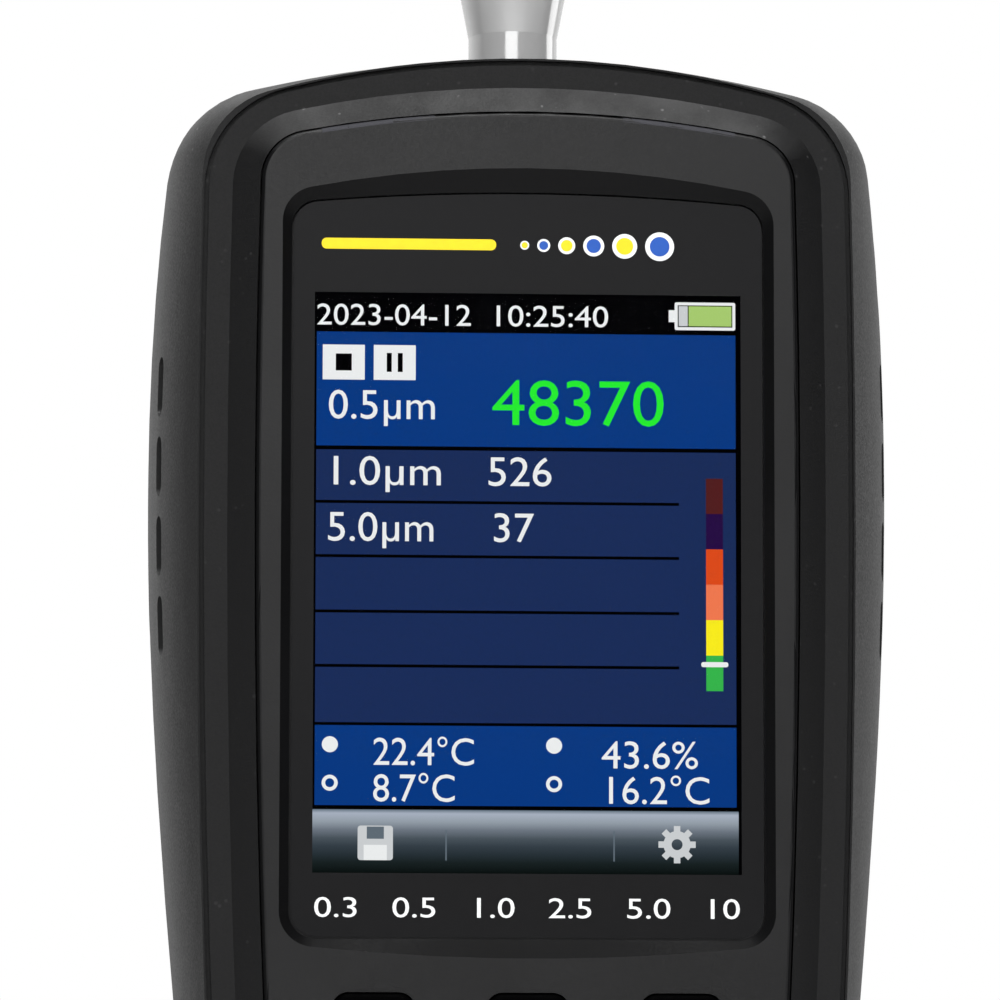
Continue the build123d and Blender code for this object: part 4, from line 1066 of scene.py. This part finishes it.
@dataclass
class Wardrobe:
    """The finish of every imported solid, by its material slot."""

    finishes: dict[str, Finish] = field(default_factory=lambda: {
        "hard_case": Moulding((0.0090, 0.0090, 0.0094), 0.38, grain=3600.0, depth=0.000012),
        # The pale second colour serves both the lint specks and the painted top light on upward faces.
        "soft_skin": DustAndTopLightSkin((0.0050, 0.0050, 0.0053), (0.24, 0.24, 0.24)),
        "key_rubber": Moulding((0.0005, 0.0005, 0.0006), 0.55, grain=2800.0, depth=0.00001,
                               specular=0.02),
        "seal_rubber": Moulding((0.018, 0.018, 0.019), 0.60, grain=2600.0, depth=0.00001),
        "window": ClearPane(),
        "display": Moulding((0.004, 0.004, 0.005), 0.25, grain=900.0, depth=0.000001),
        "foam": Moulding((0.05, 0.05, 0.05), 0.95, grain=1500.0, depth=0.00012, clouding=0.3),
        "board": Moulding((0.010, 0.090, 0.035), 0.35, grain=900.0, depth=0.00001, clouding=0.2),
        "chip": Moulding((0.012, 0.012, 0.013), 0.55, grain=4200.0, depth=0.00001),
        "white_plastic": Moulding((0.62, 0.61, 0.57), 0.45, grain=2600.0, depth=0.00001),
        "polished_steel": TurnedMetal((0.66, 0.66, 0.66), 0.12, metallic=0.45),
        "screw_steel": Moulding((0.32, 0.32, 0.34), 0.30, metallic=1.0, grain=1800.0, depth=0.000008),
        "aluminium": Moulding((0.05, 0.05, 0.055), 0.42, metallic=1.0, grain=2400.0, depth=0.000008,
                              stretch=(1, 1, 0.05)),
        "brass": TurnedMetal((0.62, 0.44, 0.17), 0.25),
        "silicone": Moulding((0.50, 0.52, 0.53), 0.38, grain=1400.0, depth=0.00001),
        "copper_ribbon": Moulding((0.42, 0.19, 0.035), 0.30, grain=700.0, depth=0.00001, clouding=0.2),
        "motor_can": TurnedMetal((0.42, 0.42, 0.43), 0.30),
        "sleeve": Moulding((0.012, 0.045, 0.20), 0.22, grain=500.0, depth=0.00003, clouding=0.08),
        "black_nylon": Moulding((0.014, 0.014, 0.015), 0.50, grain=3000.0, depth=0.000012),
    })
    # Painted shade: a darker, less glossy copy of the hard case finish for the recess slope round the
    # window.
    bezel: Finish = Moulding((0.0042, 0.0042, 0.0045), 0.42, grain=3600.0, depth=0.000004, specular=0.12)
    bezel_box: Window = (-31.0 * MM, 31.0 * MM, 110.0 * MM, 196.0 * MM)
    bezel_depth: tuple[float, float] = (-28.6 * MM, -27.5 * MM)
    bezel_facing: tuple[float, float] = (-0.97, -0.05)

    def dress(self) -> None:
        """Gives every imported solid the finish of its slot."""
        for part in frame["record"]["subparts"]:
            name, slot = part["node"], part["material_slot"]
            item = frame["nodes"][name]
            item.data.materials.clear()
            item.data.materials.append(Paints.get(slot, self.finishes[slot]))
            for polygon in item.data.polygons:
                polygon.material_index = 0
            LOG.info("%s wears %s", name, slot)
        self.paint_bezel_shade()
        frame["nodes"]["display_window"].visible_shadow = False

    def paint_bezel_shade(self) -> None:
        """Gives the slope between the hard face and the window a darker, duller copy of the hard case
        finish, as painted shade in the recess.
        """
        mesh = frame["nodes"]["front_housing"].data
        mesh.materials.append(Paints.get("bezel_gloss", self.bezel))
        left, right, low, high = self.bezel_box
        front, back = self.bezel_depth
        steepest, flattest = self.bezel_facing
        for polygon in mesh.polygons:
            centre = polygon.center
            inside = left < centre.x < right and low < centre.z < high and front < centre.y < back
            if inside and steepest < polygon.normal.y < flattest:
                polygon.material_index = 1


@dataclass(frozen=True)
class Lamp:
    """A soft square lamp that looks at the instrument; glossy surfaces may mirror it."""

    name: str
    place: Triple
    size: float
    watts: float
    mirrored: bool = True

    def hang(self, target: Triple) -> None:
        """Hangs the lamp.

        Args:
            target: The point that it looks at.
        """
        data = bpy.data.lights.new(self.name, "AREA")
        data.size = self.size
        data.energy = self.watts
        item = bpy.data.objects.new(self.name, data)
        bpy.context.scene.collection.objects.link(item)
        item.location = self.place
        item.visible_glossy = self.mirrored
        towards = Vector(target) - Vector(self.place)
        item.rotation_euler = towards.to_track_quat("-Z", "Y").to_euler()


@dataclass
class Studio:
    """Camera, lamps, pale floor and white surroundings."""

    aim: Triple = (-2.82 * MM, -28.5 * MM, 161.1 * MM)
    distance: float = 0.650
    yaw: float = 3.2
    pitch: float = 7.3
    roll: float = 0.1
    focus_pixels: float = 6559.0
    picture_pixels: float = 1000.0
    sensor: float = 36.0
    lit_point: Triple = (0.0, 0.0, 0.15)
    ambient: float = 0.22
    lamps: tuple[Lamp, ...] = (
        Lamp("overhead", (-0.05, -0.35, 1.15), 0.60, 4.4),
        Lamp("front_box", (-0.06, -0.56, 0.42), 0.34, 0.68),
        Lamp("fill", (0.00, -1.00, 0.60), 0.80, 9.0, mirrored=False),
        Lamp("right_rim", (0.80, 0.30, 0.25), 0.40, 0.8),
    )

    def build(self) -> None:
        """Sets the whole studio up."""
        bpy.context.scene.view_settings.view_transform = "Standard"
        self.camera()
        self.surroundings()
        self.floor()
        for lamp in self.lamps:
            lamp.hang(self.lit_point)

    def camera(self) -> None:
        """Places the camera."""
        yaw, pitch = math.radians(self.yaw), math.radians(self.pitch)
        level = math.cos(pitch)
        back = Vector((-math.sin(yaw) * level, -math.cos(yaw) * level, -math.sin(pitch)))
        data = bpy.data.cameras.new("camera")
        data.sensor_width = self.sensor
        data.lens = self.sensor * self.focus_pixels / self.picture_pixels
        data.clip_start, data.clip_end = 0.05, 20.0
        item = bpy.data.objects.new("camera", data)
        bpy.context.scene.collection.objects.link(item)
        item.location = Vector(self.aim) + back * self.distance
        item.rotation_euler = (-back).to_track_quat("-Z", "Y").to_euler()
        item.rotation_euler.rotate_axis("Z", math.radians(self.roll))
        bpy.context.scene.camera = item

    def surroundings(self) -> None:
        """Makes the world white to look at and in reflections from behind, and dim towards the front."""
        world = bpy.data.worlds.new("studio")
        bpy.context.scene.world = world
        world.use_nodes = True
        nodes, links = world.node_tree.nodes, world.node_tree.links
        nodes.clear()
        rays = nodes.new("ShaderNodeLightPath")
        place = nodes.new("ShaderNodeTexCoord")
        split = nodes.new("ShaderNodeSeparateXYZ")
        links.new(place.outputs["Generated"], split.inputs[0])
        behind = nodes.new("ShaderNodeMapRange")
        for name, value in (("From Min", 0.0), ("From Max", 0.75), ("To Min", 0.003), ("To Max", 1.05)):
            behind.inputs[name].default_value = value
        links.new(split.outputs["Y"], behind.inputs["Value"])
        ambient = nodes.new("ShaderNodeMix")
        ambient.inputs["A"].default_value = self.ambient
        links.new(rays.outputs["Is Glossy Ray"], ambient.inputs["Factor"])
        links.new(behind.outputs["Result"], ambient.inputs["B"])
        seen = nodes.new("ShaderNodeMath")
        seen.operation = "MAXIMUM"
        links.new(rays.outputs["Is Camera Ray"], seen.inputs[0])
        links.new(rays.outputs["Is Transmission Ray"], seen.inputs[1])
        strength = nodes.new("ShaderNodeMix")
        strength.inputs["B"].default_value = 1.0
        links.new(seen.outputs[0], strength.inputs["Factor"])
        links.new(ambient.outputs["Result"], strength.inputs["A"])
        shade = nodes.new("ShaderNodeBackground")
        shade.inputs["Color"].default_value = (1, 1, 1, 1)
        links.new(strength.outputs["Result"], shade.inputs["Strength"])
        links.new(shade.outputs[0], nodes.new("ShaderNodeOutputWorld").inputs["Surface"])

    @staticmethod
    def floor() -> None:
        """Lays a pale floor that the instrument stands on."""
        Bench.idle()
        bpy.ops.mesh.primitive_circle_add(vertices=96, radius=3.0, fill_type="NGON",
                                          location=(0, 0, -0.2 * MM))
        item = Bench.settle(bpy.context.object, "floor")
        graph = Graph("floor_paper")
        graph.set(Roughness=0.9, Specular_IOR_Level=0.1)
        paper = graph.blend(graph.noise(40.0, 2.0), (0.80, 0.80, 0.80), (0.86, 0.86, 0.86))
        graph.feed(paper, "Base Color")
        item.data.materials.append(graph.material)


def main() -> None:
    """Builds and dresses everything in order."""
    logging.basicConfig(level=logging.INFO, format="%(name)s: %(message)s")
    Wardrobe().dress()
    FaceEdge().build()
    Lens().build()
    Picture().build()
    Keypad().build()
    Studio().build()
    bpy.context.view_layer.update()


if __name__ == "__main__":
    main()
